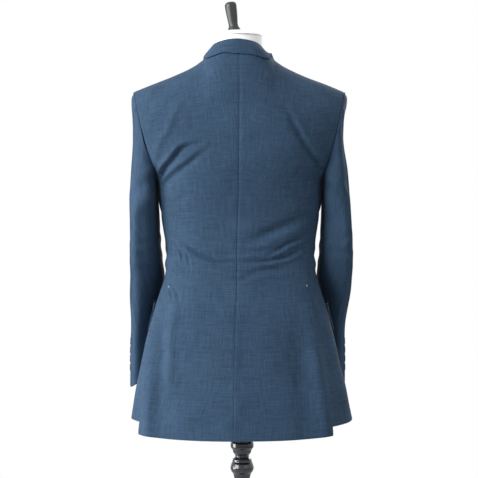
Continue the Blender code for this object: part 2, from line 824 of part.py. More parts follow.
def waistcoat_lift(x, height, side):
    """The waistcoat lies deeper at the front, for its buttons, and at the waist, and comes up
    under the jacket at the shoulders, where it carries it."""
    lift = SHOULDER_RISE * ease((height - 1.37) / 0.07) * ease((abs(x) - 0.08) / 0.03)
    lift -= WAIST_INSET * ease((1.065 - height) / 0.06)
    lift -= NECK_INSET * ease((0.10 - abs(x)) / 0.03) * ease((height - 1.35) / 0.06)
    if side == FRONT:
        chest = 1 - ease((height - 1.30) / 0.10)
        lift -= WAISTCOAT_FRONT_INSET * ease((0.10 - abs(x)) / 0.06) * chest
    return lift


def waistcoat_edge(height):
    if height < WAISTCOAT_SIDE_TOP:
        return BODY.read("half_width", height) - WAISTCOAT_INSET
    return WAISTCOAT_ARMHOLE.read("x", level_of(0.14, height))


def waistcoat_front(name):
    sign = SIDES[name]
    columns = 8
    rows = rows_above(WAISTCOAT_SIDE_HEM)

    def outer(u, v):
        height = row_height(rows, v)
        point_drop = WAISTCOAT_SIDE_HEM - WAISTCOAT_EDGE.rows[0][0]
        height -= point_drop * (1 - u) * max(1 - v * (len(rows) - 1), 0)
        start = WAISTCOAT_EDGE.read("x", level_of(WAISTCOAT_NECK_X, height, WAISTCOAT_INSET))
        edge = waistcoat_edge(height)
        half_width = max(BODY.read("half_width", min(height, 1.42)) - WAISTCOAT_INSET, edge)
        x = front_across(start, edge, half_width, u * 0.99, columns)
        lift = waistcoat_lift(x, height, FRONT)
        if name == "left":
            lift += (WAISTCOAT_WALL + 2 * GAP) * overlap_share(x, height, 1.22)
        point = raised(x, height, FRONT, lift, WAISTCOAT_INSET)
        return Vector((point.x * sign, point.y, point.z))

    label = f"waistcoat_front_{name}"
    cloth(label, columns, len(rows) - 1, outer, WAISTCOAT_WALL, "navy_worsted", inside=sign < 0)


def waistcoat_back():
    rows = rows_above(WAISTCOAT_SIDE_HEM)

    def outer(u, v):
        height = row_height(rows, v)
        edge = waistcoat_edge(height)
        half_width = max(BODY.read("half_width", min(height, 1.42)) - WAISTCOAT_INSET, edge)
        x = across(-edge, edge, half_width, mix(0.006, 0.994, u))
        lift = waistcoat_lift(x, height, BACK)
        top = neck_height(x, height, WAISTCOAT_NECKLINE, WAISTCOAT_INSET)
        return raised(x, top, BACK, lift, WAISTCOAT_INSET)

    cloth("waistcoat_back", 16, len(rows) - 1, outer, WAISTCOAT_WALL, "navy_worsted", inside=True)


# Form and stand


def form_ring(z):
    half_width = FORM.read("half_width", z)
    middle = RIDGE_Y * ease((z - 1.30) / 0.10)
    ring = []
    for count in range(FORM_SIDES):
        angle = 2 * math.pi * count / FORM_SIDES
        depth = FORM.read("back" if math.cos(angle) > 0 else "front", z)
        x = half_width * signed_power(math.sin(angle), 2 / FORM_POWER)
        y = middle + depth * signed_power(math.cos(angle), 2 / FORM_POWER)
        ring.append(leaned(Vector((x, y, z))))
    return ring


def form_torso():
    mesh_data = bmesh.new()
    rings = [[mesh_data.verts.new(point) for point in form_ring(row[0])] for row in FORM.rows]
    for lower, upper in zip(rings, rings[1:]):
        for count in range(FORM_SIDES):
            following = (count + 1) % FORM_SIDES
            mesh_data.faces.new((lower[count], lower[following], upper[following], upper[count]))
    mesh_data.faces.new(rings[0])
    mesh_data.faces.new(rings[-1])
    bmesh.ops.recalc_face_normals(mesh_data, faces=mesh_data.faces[:])
    add_object("form_torso", mesh_data, "white_form")


def turned(name, profile, material, start=Vector((0, 0, 0)), tilt=0.0):
    """A profile of (radius, z), top to bottom, turned about its own axis."""
    mesh = bpy.data.meshes.new(name)
    edges = [(place, place + 1) for place in range(len(profile) - 1)]
    mesh.from_pydata([(radius, 0, z) for radius, z in profile], edges, [])
    mesh.materials.append(finish(material))
    thing = bpy.data.objects.new(name, mesh)
    bpy.data.collections[COLLECTION].objects.link(thing)
    screw = thing.modifiers.new("turned", "SCREW")
    screw.steps = TURNED_STEPS
    screw.render_steps = TURNED_STEPS
    screw.use_merge_vertices = True
    screw.merge_threshold = 0.0001
    screw.use_smooth_shade = True
    thing.location = start
    thing.rotation_euler = (0, tilt, 0)


def build():
    for thing in list(bpy.data.objects):
        bpy.data.objects.remove(thing)
    collection = bpy.data.collections.new(COLLECTION)
    bpy.context.scene.collection.children.link(collection)

    for name in SIDES:
        jacket_back(name)
        jacket_side(name)
        jacket_front(name)
        jacket_lapel(name)
        jacket_flap(name)
        sleeve_piece(name, "upper", FORE_SEAM - 2 * math.pi, HIND_SEAM, 8)
        sleeve_piece(name, "under", HIND_SEAM, FORE_SEAM, 7)
        for number, z in enumerate(SLEEVE_BUTTON_LEVELS, 1):
            sleeve_button(name, number, z)
        waistcoat_front(name)
    jacket_collar()
    waistcoat_back()

    top_lift = JACKET_WALL + 2 * GAP
    for part, z in zip(("upper", "lower"), JACKET_BUTTON_LEVELS):
        front_button(f"jacket_button_{part}", z, top_lift, 0, FRONT_BUTTON)
    for number, z in enumerate(WAISTCOAT_BUTTON_LEVELS, 1):
        lift = WAISTCOAT_WALL + 2 * GAP + waistcoat_lift(0, z, FRONT)
        front_button(f"waistcoat_button_{number}", z, lift, WAISTCOAT_INSET, WAISTCOAT_BUTTON)

    form_torso()
    neck_shift = Vector(((1.55 - LEAN_FROM) * LEAN, 0, 0))
    turned("form_neck_cap", NECK_CAP, "white_form", neck_shift)
    turned("form_finial", FINIAL, "dark_finial", FINIAL_PLACE + neck_shift, FINIAL_TILT)
    turned("stand_post", POST, "black_lacquer")
    turned("stand_base", BASE, "black_lacquer")


build()
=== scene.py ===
import math

import bpy
import numpy as np
from mathutils import Matrix, Vector


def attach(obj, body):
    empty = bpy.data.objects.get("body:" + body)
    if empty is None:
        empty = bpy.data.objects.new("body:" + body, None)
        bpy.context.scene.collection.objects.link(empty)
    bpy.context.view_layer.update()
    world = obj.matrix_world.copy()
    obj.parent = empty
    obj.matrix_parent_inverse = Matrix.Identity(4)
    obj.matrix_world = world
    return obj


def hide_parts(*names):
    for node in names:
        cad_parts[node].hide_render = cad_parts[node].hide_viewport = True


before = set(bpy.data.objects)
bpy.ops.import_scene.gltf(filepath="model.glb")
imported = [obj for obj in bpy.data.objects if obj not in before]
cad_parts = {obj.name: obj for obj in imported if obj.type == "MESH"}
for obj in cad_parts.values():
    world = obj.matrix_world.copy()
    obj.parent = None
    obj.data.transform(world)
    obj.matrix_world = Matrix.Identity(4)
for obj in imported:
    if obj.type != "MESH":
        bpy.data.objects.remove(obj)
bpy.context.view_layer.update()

# The coat's outside is one surface, torsoPoint(x, height, side), read from tables of level sections.
# Metres; the wearer's front faces -Y and the wearer's left is +X.

back = 1
front = -1
sides = {"left": 1, "right": -1}


def ease(value):
    value = np.clip(value, 0, 1)
    return value * value * (3 - 2 * value)


def mix(start, end, share):
    return start + (end - start) * share


def bell(distance, width):
    return np.exp(-(distance / width) ** 2)


def signedPower(value, power):
    return np.copysign(np.abs(value) ** power, value)


def stacked(x, y, z):
    return np.stack(np.broadcast_arrays(x, y, z), axis=-1).astype(float)


def unit(vectors):
    return vectors / np.maximum(np.linalg.norm(vectors, axis=-1, keepdims=True), 1e-12)


class SizeTable:
    # Rows under named columns, in thousandths; any column is read smoothly by the value of the first
    def __init__(self, columns, *rows, scale=1000):
        self.columns = columns.split()
        self.rows = np.array(rows, float) / scale

    def read(self, column, key):
        keys = self.rows[:, 0]
        values = self.rows[:, self.columns.index(column)]
        count = len(keys)
        key = np.clip(np.asarray(key, float), keys[0], keys[-1])
        place = np.clip(np.searchsorted(keys, key, side="left") - 1, 0, count - 2)
        before = np.maximum(np.arange(count) - 1, 0)
        after = np.minimum(np.arange(count) + 1, count - 1)
        slopes = (values[after] - values[before]) / (keys[after] - keys[before])
        span = keys[place + 1] - keys[place]
        t = (key - keys[place]) / span
        rise = (3 - 2 * t) * t * t
        bend = slopes[place] * span * t * (1 - t) ** 2 + slopes[place + 1] * span * t * t * (t - 1)
        return values[place] * (1 - rise) + values[place + 1] * rise + bend


# Cloth and levels
coat = {
    "wall": 0.002,
    "gap": 0.0003,
    "backHem": 0.700,
    "backHemRise": 0.006,
    "sideHem": {"left": 0.730, "right": 0.722},
    "frontHem": 0.735,
    "tackLevel": 1.005,
    "underarm": 1.235,
    "sideTop": 1.262,
    "capStart": 1.33,
    "capRise": 0.15,
    "neckX": 0.0774,
    "ridgeY": -0.005,
    "power": 2.4,
    "lean": 0.0085,
    "leanFrom": 0.65,
    "overlapEdge": 0.024,
    "overlapFade": 0.040,
    "widest": 1.42,
}
ridgeTop = coat["capStart"] + coat["capRise"]

bodyRows = SizeTable(
    "z halfWidth back front",
    (690, 244, 148, 128), (760, 232, 142, 126), (840, 215.5, 134, 123), (920, 197, 122, 120),
    (970, 183.5, 110, 118), (1000, 173.5, 101, 117), (1035, 163, 93, 116), (1090, 159, 86, 116),
    (1135, 164.5, 89, 119), (1170, 170.4, 94, 123), (1200, 173.6, 99, 126), (1235, 177, 106, 129),
    (1270, 201, 111, 130), (1310, 222, 114, 129), (1360, 236, 115, 124), (1430, 243, 114, 118),
)
shoulderRows = SizeTable(
    "x z",
    (0, 1560), (30, 1552), (55, 1525), (70, 1499.5), (77.4, 1490), (100, 1474.5), (138, 1457), (182, 1440),
    (223.7, 1423.5),
)
necklineRows = SizeTable("x z", (0, 1506.5), (45, 1503), (65, 1496.5), (77.4, 1490))
centreSeamRows = SizeTable(
    "z x",
    (700, 17), (910, 12.9), (1015, 8.4), (1118, 6.6), (1210, 3), (1430, -0.6), (1500, -1),
)
backArmholeRows = SizeTable(
    "z x",
    (1262, 181.5), (1290, 192), (1320, 199.8), (1365, 210.5), (1423.5, 223.7),
)
frontArmholeRows = SizeTable("z x", (1262, 175.7), (1280, 180), (1320, 189), (1365, 202), (1423.5, 223.7))
sideSeamRows = SizeTable(
    "z back front",
    (720, 880, 900), (1005, 885, 900), (1090, 910, 910), (1262, 930, 900),
)
ventEdgeRows = SizeTable(
    "z left right",
    (700, 213, 186.2), (735, 208.5, 183.2), (782, 190, 178.7), (883, 169, 165.5), (1005, 151.5, 141.5),
)
frontEdgeRows = SizeTable(
    "z x",
    (735, 100), (755, 60), (810, 21), (880, -5), (950, -17.5), (1050, -20), (1120, -18.5), (1200, 2),
    (1300, 27.7), (1400, 53.3), (1466, 70.6), (1490, 77.4),
)


def leaned(points):
    points = points.copy()
    points[:, 0] += (points[:, 2] - coat["leanFrom"]) * coat["lean"]
    return points


def levelOf(x, height, inset=0):
    turn = (height - coat["capStart"]) / coat["capRise"] * math.pi / 2
    crest = shoulderRows.read("z", np.abs(x)) - inset
    over = coat["capStart"] + (crest - coat["capStart"]) * np.sin(np.maximum(turn, 0))
    return np.where(height <= coat["capStart"], height, over)


def heightOf(x, z, inset=0):
    crest = shoulderRows.read("z", np.abs(x)) - inset
    share = np.clip((z - coat["capStart"]) / (crest - coat["capStart"]), 0, 1)
    over = coat["capStart"] + coat["capRise"] * np.arcsin(share) / (math.pi / 2)
    return np.where(z <= coat["capStart"], z, over)


def torsoPoint(x, height, side, inset=0):
    # Over capStart the height runs up an arc to the crest of the shoulder
    z = levelOf(x, height, inset)
    halfWidth = bodyRows.read("halfWidth", z) - inset
    depth = bodyRows.read("back" if side == back else "front", z) - inset
    power = coat["power"]
    reach = depth * np.maximum(1 - np.minimum(np.abs(x) / halfWidth, 1) ** power, 0) ** (1 / power)
    drop = np.cos(np.maximum(height - coat["capStart"], 0) / coat["capRise"] * math.pi / 2)
    y = np.where(height > coat["capStart"], mix(coat["ridgeY"], side * reach, drop), side * reach)
    return stacked(x, y + side * coat["gap"] / 2, z)


def torsoNormal(x, height, side, inset=0):
    step = 0.0015
    up = torsoPoint(x, np.minimum(height + step, ridgeTop), side, inset)
    up = up - torsoPoint(x, height - step, side, inset)
    along = torsoPoint(x + step, height, side, inset) - torsoPoint(x - step, height, side, inset)
    return unit(np.cross(along, up)) * (1 if side == front else -1)


def raised(x, height, side, lift, inset=0):
    lift = np.reshape(lift * np.ones(np.shape(height)), (-1, 1))
    return torsoPoint(x, height, side, inset) + torsoNormal(x, height, side, inset) * lift


def roundPoint(angle, z, inset=0):
    halfWidth = bodyRows.read("halfWidth", z) - inset
    depth = np.where(np.cos(angle) > 0, bodyRows.read("back", z), bodyRows.read("front", z)) - inset
    x = halfWidth * signedPower(np.sin(angle), 2 / coat["power"])
    y = depth * signedPower(np.cos(angle), 2 / coat["power"])
    return stacked(x, y, z)


def roundRaised(angle, z, lift, inset=0):
    step = 0.01
    around = roundPoint(angle + step, z, inset) - roundPoint(angle - step, z, inset)
    up = roundPoint(angle, z + 0.005, inset) - roundPoint(angle, z - 0.005, inset)
    lift = np.reshape(lift * np.ones(np.shape(z)), (-1, 1))
    return roundPoint(angle, z, inset) + unit(np.cross(up, around)) * lift


def sectionTurn(x, halfWidth):
    return np.arcsin(np.clip(signedPower(x / halfWidth, coat["power"] / 2), -1, 1))


def across(xStart, xEnd, halfWidth, share):
    turn = mix(sectionTurn(xStart, halfWidth), sectionTurn(xEnd, halfWidth), share)
    return halfWidth * signedPower(np.sin(turn), 2 / coat["power"])


def armholeX(height, table):
    x = np.full(np.shape(height), table.rows[0][1])
    for _ in range(12):
        x = table.read("x", levelOf(x, height))
    return x


def backEdge(height, name):
    halfWidth = bodyRows.read("halfWidth", height)
    seam = sideSeamRows.read("back", height) * halfWidth
    tack = ventEdgeRows.read(name, coat["tackLevel"])
    middle = mix(tack, seam, ease((height - coat["tackLevel"]) / 0.05)) - coat["gap"] / 2
    low = np.where(height < coat["tackLevel"], ventEdgeRows.read(name, height), middle)
    return np.where(height < coat["sideTop"], low, armholeX(height, backArmholeRows))


def frontOuter(height):
    seam = sideSeamRows.read("front", height) * bodyRows.read("halfWidth", height) - coat["gap"] / 2
    return np.where(height < coat["sideTop"], seam, armholeX(height, frontArmholeRows))


def widthAt(height, edge, inset=0):
    # Half the section's width, which over the shoulder's foot stays what it is there
    return np.maximum(bodyRows.read("halfWidth", np.minimum(height, coat["widest"])) - inset, edge)


def neckHeight(x, height, neckline, inset=0):
    # Rows near the neck are drawn down so that the top one follows the neckline
    top = heightOf(x, neckline.read("z", np.abs(x)), inset)
    drawn = coat["capStart"] + (height - coat["capStart"]) * (top - coat["capStart"]) / coat["capRise"]
    inside = (np.abs(x) < neckline.rows[-1][0]) & (height > coat["capStart"])
    return np.where(inside, drawn, height)


def overlapShare(x, height, top):
    share = ease((coat["overlapFade"] - x) / (coat["overlapFade"] - coat["overlapEdge"]))
    return share * (1 - ease((height - top) / 0.05))


def leftFrontLift(x, height):
    return (coat["wall"] + 2 * coat["gap"]) * overlapShare(x, height, 1.20)


# Creases: soft troughs and ridges along short lines

def smoothLine(line, spacing=0.0018):
    # A curve through the points of the line, sampled evenly
    line = np.array(line, float)
    length = np.concatenate([[0], np.cumsum(np.linalg.norm(np.diff(line, axis=0), axis=1))])
    samples = np.linspace(0, length[-1], max(int(length[-1] / spacing), 8))
    columns = [SizeTable("s a", *zip(length, line[:, i]), scale=1).read("a", samples) for i in range(2)]
    return np.stack(columns, axis=1)


def creaseRows(sizes, *rows, units=(0.001, 0.001)):
    # A row is the name of a depth, a share of it, width in mm, lip, and the points of the line
    made = []
    for name, share, width, lip, *line in rows:
        made.append((np.array(line) * units, width / 1000, sizes[name] * share, lip))
    return made


def creased(a, b, creases):
    # Each crease is (line, width, depth, lip): lip puts a small ridge on one side of it
    total = np.zeros(len(a))
    for line, width, depth, lip in creases:
        samples = smoothLine(line)
        low, high = samples.min(0) - 4 * width, samples.max(0) + 4 * width
        near = np.flatnonzero((a > low[0]) & (a < high[0]) & (b > low[1]) & (b < high[1]))
        if not len(near):
            continue
        offA = a[near, None] - samples[:, 0]
        offB = b[near, None] - samples[:, 1]
        distance = offA ** 2 + offB ** 2
        closest = np.argmin(distance, axis=1)
        rows = np.arange(len(near))
        heading = np.gradient(samples, axis=0)[closest]
        sideways = heading[:, 0] * offB[rows, closest] - heading[:, 1] * offA[rows, closest]
        distance = np.sqrt(distance[rows, closest]) / width
        signed = distance * np.sign(sideways) * (1 if lip >= 0 else -1)
        t = closest / (len(samples) - 1)
        taper = np.minimum(ease(t / 0.35), ease((1 - t) / 0.35)) * 0.85 + 0.15
        profile = np.exp(-distance ** 2) - abs(lip) * np.exp(-(signed - 1.6) ** 2)
        total[near] += depth * taper * profile
    return total


# Each piece's size of waves and their seed
waves = {
    "back": (0.0012, 4), "side": (0.0012, 9), "front": (0.0010, 15), "lapel": (0.0004, 21),
    "collar": (0.0004, 30), "sleeve": (0.0012, 40), "flap": (0.0004, 60),
    "waistcoatFront": (0.0006, 70), "waistcoatBack": (0.0006, 71),
}
# Each kind of seam's depth and width
seamSizes = {
    "centre": (0.0002, 0.0016), "armhole": (0.0009, 0.0026), "vent": (0.0003, 0.0020), "side": (0.0006, 0.0024),
    "frontEdge": (0.0007, 0.0022), "sleeve": (0.0024, 0.0022), "waistcoatEdge": (0.0006, 0.0020),
    "waistcoatCentre": (0.0008, 0.0020),
}


def unevenness(a, b, kind, other=0):
    # A few long waves, so that no stretch of pressed cloth is quite flat
    size, seed = waves[kind]
    turns = np.random.default_rng(seed + other)
    total = np.zeros(len(a))
    for _ in range(7):
        heading = turns.uniform(0, math.pi)
        wave = turns.uniform(35, 90)
        shift = turns.uniform(0, 2 * math.pi)
        total += np.sin((a * math.cos(heading) + b * math.sin(heading)) * wave + shift)
    return total * size / 7


def seamDip(distance, kind):
    depth, width = seamSizes[kind]
    return -depth * bell(distance, width)


# Making a sheet of cloth: a grid is added, laid on its surface, given its wall and its edges rounded

def deselectAll():
    if bpy.context.object and bpy.context.object.mode != "OBJECT":
        bpy.ops.object.mode_set(mode="OBJECT")
    bpy.ops.object.select_all(action="DESELECT")


def takenUp(piece):
    deselectAll()
    piece.select_set(True)
    bpy.context.view_layer.objects.active = piece


def inEdit(piece):
    takenUp(piece)
    bpy.ops.object.mode_set(mode="EDIT")
    bpy.ops.mesh.select_all(action="SELECT")


def smoothed(piece, degrees):
    takenUp(piece)
    bpy.ops.object.shade_smooth_by_angle(angle=math.radians(degrees))


def applied(piece, kind, **settings):
    takenUp(piece)
    modifier = piece.modifiers.new(kind.lower(), kind)
    for key, value in settings.items():
        setattr(modifier, key, value)
    bpy.ops.object.modifier_apply(modifier=modifier.name)


def meshPoints(piece):
    points = np.empty(len(piece.data.vertices) * 3)
    piece.data.vertices.foreach_get("co", points)
    return points.reshape(-1, 3)


def setPoints(piece, points):
    piece.data.vertices.foreach_set("co", np.ascontiguousarray(points, float).ravel())
    piece.data.update()


sheetSizes = {}


def finished(piece, material, node=None):
    piece.data.materials.clear()
    piece.data.materials.append(material)
    if node:
        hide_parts(node)
    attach(piece, "root")


def layFlat(piece, u, v, points):
    # The UV map is the sheet laid flat, in metres along its rows and columns
    order = np.lexsort((u, v))
    width, height = len(np.unique(np.round(u, 6))), len(np.unique(np.round(v, 6)))
    laid = points[order].reshape(height, width, 3)
    alongSteps = np.linalg.norm(np.diff(laid, axis=1), axis=2)
    upSteps = np.linalg.norm(np.diff(laid, axis=0), axis=2)
    flatU = np.concatenate([np.zeros((height, 1)), np.cumsum(alongSteps, axis=1)], axis=1)
    flatU -= flatU[:, -1:] / 2
    flatV = np.concatenate([np.zeros((1, width)), np.cumsum(upSteps, axis=0)], axis=0)
    flat = np.empty((len(points), 2))
    flat[order] = np.stack([flatU, flatV], axis=-1).reshape(-1, 2)
    loops = np.empty(len(piece.data.loops), int)
    piece.data.loops.foreach_get("vertex_index", loops)
    piece.data.uv_layers[0].data.foreach_set("uv", flat[loops].ravel())
    sheetSizes[piece.name] = (
        round(float(flatU[:, -1].max() - flatU[:, 0].min()), 3),
        round(float(flatV[-1].max()), 3),
        round(float(sum(face.area for face in piece.data.polygons)), 4),
    )


def makeSheet(name, node, grid, place, relief, inside, edge=0.0005, wall=coat["wall"], material=None):
    deselectAll()
    bpy.ops.mesh.primitive_grid_add(x_subdivisions=grid[0], y_subdivisions=grid[1], size=1)
    piece = bpy.context.object
    piece.name = name
    square = meshPoints(piece)
    u, v = np.clip(square[:, 0] + 0.5, 0, 1), np.clip(square[:, 1] + 0.5, 0, 1)
    points = place(u, v)
    step = 0.002
    along = place(np.minimum(u + step, 1), v) - place(np.maximum(u - step, 0), v)
    up = place(u, np.minimum(v + step, 1)) - place(u, np.maximum(v - step, 0))
    normal = unit(np.cross(along, up)) * (-1 if inside else 1)
    points = leaned(points + normal * relief(u, v, points)[:, None])
    setPoints(piece, points)
    layFlat(piece, u, v, points)
    if inside:
        inEdit(piece)
        bpy.ops.mesh.flip_normals()
        bpy.ops.object.mode_set(mode="OBJECT")
    applied(piece, "SOLIDIFY", thickness=wall, offset=-1, use_rim=True)
    applied(piece, "BEVEL", width=edge, segments=2, limit_method="ANGLE", angle_limit=math.radians(60))
    smoothed(piece, 50)
    finished(piece, material or navyCloth, node)


# Materials

class Value:
    # A socket whose sums make Math nodes
    def __init__(self, build, socket):
        self.build, self.socket = build, socket

    def math(self, operation, other):
        node = self.build.node("ShaderNodeMath", {"operation": operation}, self, other)
        return Value(self.build, node.outputs[0])

    def __add__(self, other):
        return self.math("ADD", other)

    def __mul__(self, other):
        return self.math("MULTIPLY", other)

    def fitted(self, low, high):
        settings = {"interpolation_type": "SMOOTHSTEP"}
        node = self.build.node("ShaderNodeMapRange", settings, self, low, high, 0.0, 1.0)
        return Value(self.build, node.outputs[0])


class Finish:
    def __init__(self, name, sockets):
        self.material = bpy.data.materials.new(name)
        self.material.use_nodes = True
        self.tree = self.material.node_tree
        self.shader = self.tree.nodes["Principled BSDF"]
        for key, value in sockets.items():
            self.shader.inputs[key].default_value = value

    def put(self, socket, value):
        if isinstance(value, Value):
            value = value.socket
        if isinstance(value, bpy.types.NodeSocket):
            self.tree.links.new(value, socket)
            return
        isColour = hasattr(value, "__len__") and len(value) < len(socket.default_value)
        socket.default_value = (*value, 1) if isColour else value

    def node(self, kind, settings=None, *values, **named):
        node = self.tree.nodes.new(kind)
        for key, value in (settings or {}).items():
            setattr(node, key, value)
        for socket, value in zip(node.inputs, values):
            self.put(socket, value)
        for key, value in named.items():
            self.put(node.inputs[key], value)
        return node

    def coordinates(self, kind="Object"):
        return self.node("ShaderNodeTexCoord").outputs[kind]

    def noise(self, vector, scale, detail=2.0):
        # A scale of three numbers stretches the noise along the axes
        if isinstance(scale, tuple):
            vector, scale = self.node("ShaderNodeMapping", Vector=vector, Scale=scale).outputs[0], 1.0
        node = self.node("ShaderNodeTexNoise", Vector=vector, Scale=scale, Detail=detail)
        return Value(self, node.outputs[0])

    def set(self, name, value):
        self.put(self.shader.inputs[name], value)

    def coloured(self, factor, first, second):
        node = self.node("ShaderNodeMix", {"data_type": "RGBA"})
        for number, value in ((0, factor), (6, first), (7, second)):
            self.put(node.inputs[number], value)
        self.set("Base Color", node.outputs[2])

    def bumped(self, height, strength, distance):
        node = self.node("ShaderNodeBump", Strength=strength, Distance=distance, Height=height)
        self.set("Normal", node.outputs[0])


worsted = {
    "shade": (0.0122, 0.0280, 0.0520),
    "light": (0.0395, 0.0790, 0.1390),
    "yarnsPerMetre": 1500,
    "streaksPerMetre": 430,
    "yarnStretch": 0.04,
    "streakStretch": 0.05,
    "cloudScale": 7.0,
    "shares": (0.4, 0.45, 0.15),
    "leastRoughness": 0.72,
    "moreRoughness": 0.12,
    "ribs": 0.35,
    "bump": (0.22, 0.0006),
}


def worstedFinish():
    # Fine warp and weft with mixed yarns: each thread differs a little along its length
    cloth = Finish("navyWorsted", {"Sheen Weight": 0.02, "Sheen Roughness": 0.5, "Specular IOR Level": 0.12})
    uv = cloth.coordinates("UV")

    def crossed(count, stretch, detail):
        warp = cloth.noise(uv, (count, count * stretch, 1), detail)
        return (warp + cloth.noise(uv, (count * stretch, count, 1), detail)) * 0.5

    melange = crossed(worsted["yarnsPerMetre"], worsted["yarnStretch"], 1.0)
    mixed = crossed(worsted["streaksPerMetre"], worsted["streakStretch"], 2.0)
    cloudy = cloth.noise(cloth.coordinates(), worsted["cloudScale"], 3.0)
    yarns, streaks, clouds = worsted["shares"]
    factor = melange.fitted(0.32, 0.68) * yarns + mixed.fitted(0.34, 0.66) * streaks
    factor = factor + cloudy.fitted(0.35, 0.65) * clouds
    cloth.coloured(factor, worsted["shade"], worsted["light"])
    cloth.set("Roughness", melange * worsted["moreRoughness"] + worsted["leastRoughness"])
    sizes = {"Scale": worsted["yarnsPerMetre"] / 12, "Distortion": 0.4}
    ribs = cloth.node("ShaderNodeTexWave", {"bands_direction": "DIAGONAL"}, Vector=uv, **sizes).outputs[1]
    cloth.bumped(melange + Value(cloth, ribs) * worsted["ribs"], *worsted["bump"])
    return cloth.material


def grainFinish(name, scale, detail, dark, light, sockets, roughness=None, bump=None, fit=None):
    # One grain sets the colour, the roughness (its share, its least) and the bump (strength, distance)
    finish = Finish(name, sockets)
    grain = finish.noise(finish.coordinates(), scale, detail)
    finish.coloured(grain.fitted(*fit) if fit else grain, dark, light)
    if roughness:
        finish.set("Roughness", grain * roughness[0] + roughness[1])
    if bump:
        finish.bumped(grain, *bump)
    return finish.material


navyCloth = worstedFinish()
lining = grainFinish(
    "paleLining", (900, 900, 90), 2.0, (0.34, 0.36, 0.33), (0.46, 0.47, 0.44),
    {"Roughness": 0.5, "Specular IOR Level": 0.4}, bump=(0.1, 0.0004),
)
horn = grainFinish(
    "darkHorn", (90, 90, 260), 4.0, (0.006, 0.008, 0.014), (0.030, 0.034, 0.048),
    {"Coat Weight": 0.3, "Coat Roughness": 0.15}, roughness=(0.15, 0.22), fit=(0.4, 0.7),
)
twist = (3000, 3000, 3000)
dull = {"Roughness": 0.7}
thread = grainFinish("sewingThread", twist, 2.0, (0.020, 0.036, 0.066), (0.045, 0.075, 0.125), dull)
basting = grainFinish("bastingThread", twist, 2.0, (0.38, 0.31, 0.31), (0.56, 0.47, 0.47), dull)
jersey = grainFinish(
    "whiteJersey", (1400, 1400, 500), 2.0, (0.90, 0.90, 0.89), (0.96, 0.96, 0.95),
    {"Roughness": 0.85, "Sheen Weight": 0.1}, bump=(0.15, 0.0004),
)
lacquer = grainFinish(
    "blackLacquer", (60, 60, 9), 5.0, (0.004, 0.006, 0.009), (0.012, 0.016, 0.020),
    {"Coat Weight": 0.6, "Coat Roughness": 0.06}, roughness=(0.16, 0.14), bump=(0.08, 0.0006),
)
stained = grainFinish(
    "stainedWood", (420, 420, 26), 4.0, (0.010, 0.014, 0.012), (0.034, 0.042, 0.036),
    {}, roughness=(0.2, 0.3), bump=(0.15, 0.0004),
)
print("finishes made")


# Coat backs: two panels with a centre seam, lying over the side bodies at the vents

backPanel = {
    "grid": (60, 210),
    "armpitLeft": 0.0078,
    "armpitRight": 0.0072,
    "waist": 0.0062,
    "flute": 0.0085,
    "soft": 0.001,
    "ridge": 0.0060,
    "ridgeFade": {"left": 0.120, "right": 0.050},
    "mostRelief": (-0.0095, 0.0120),
    "seamGap": 0.00025,
    "closedGap": 0.000002,
    "hemRoll": 0.0006,
    "seamLow": 0.84,
    "seamTop": 1.45,
    "ridgeLevel": 1.0,
    "ridgeRise": 0.12,
}
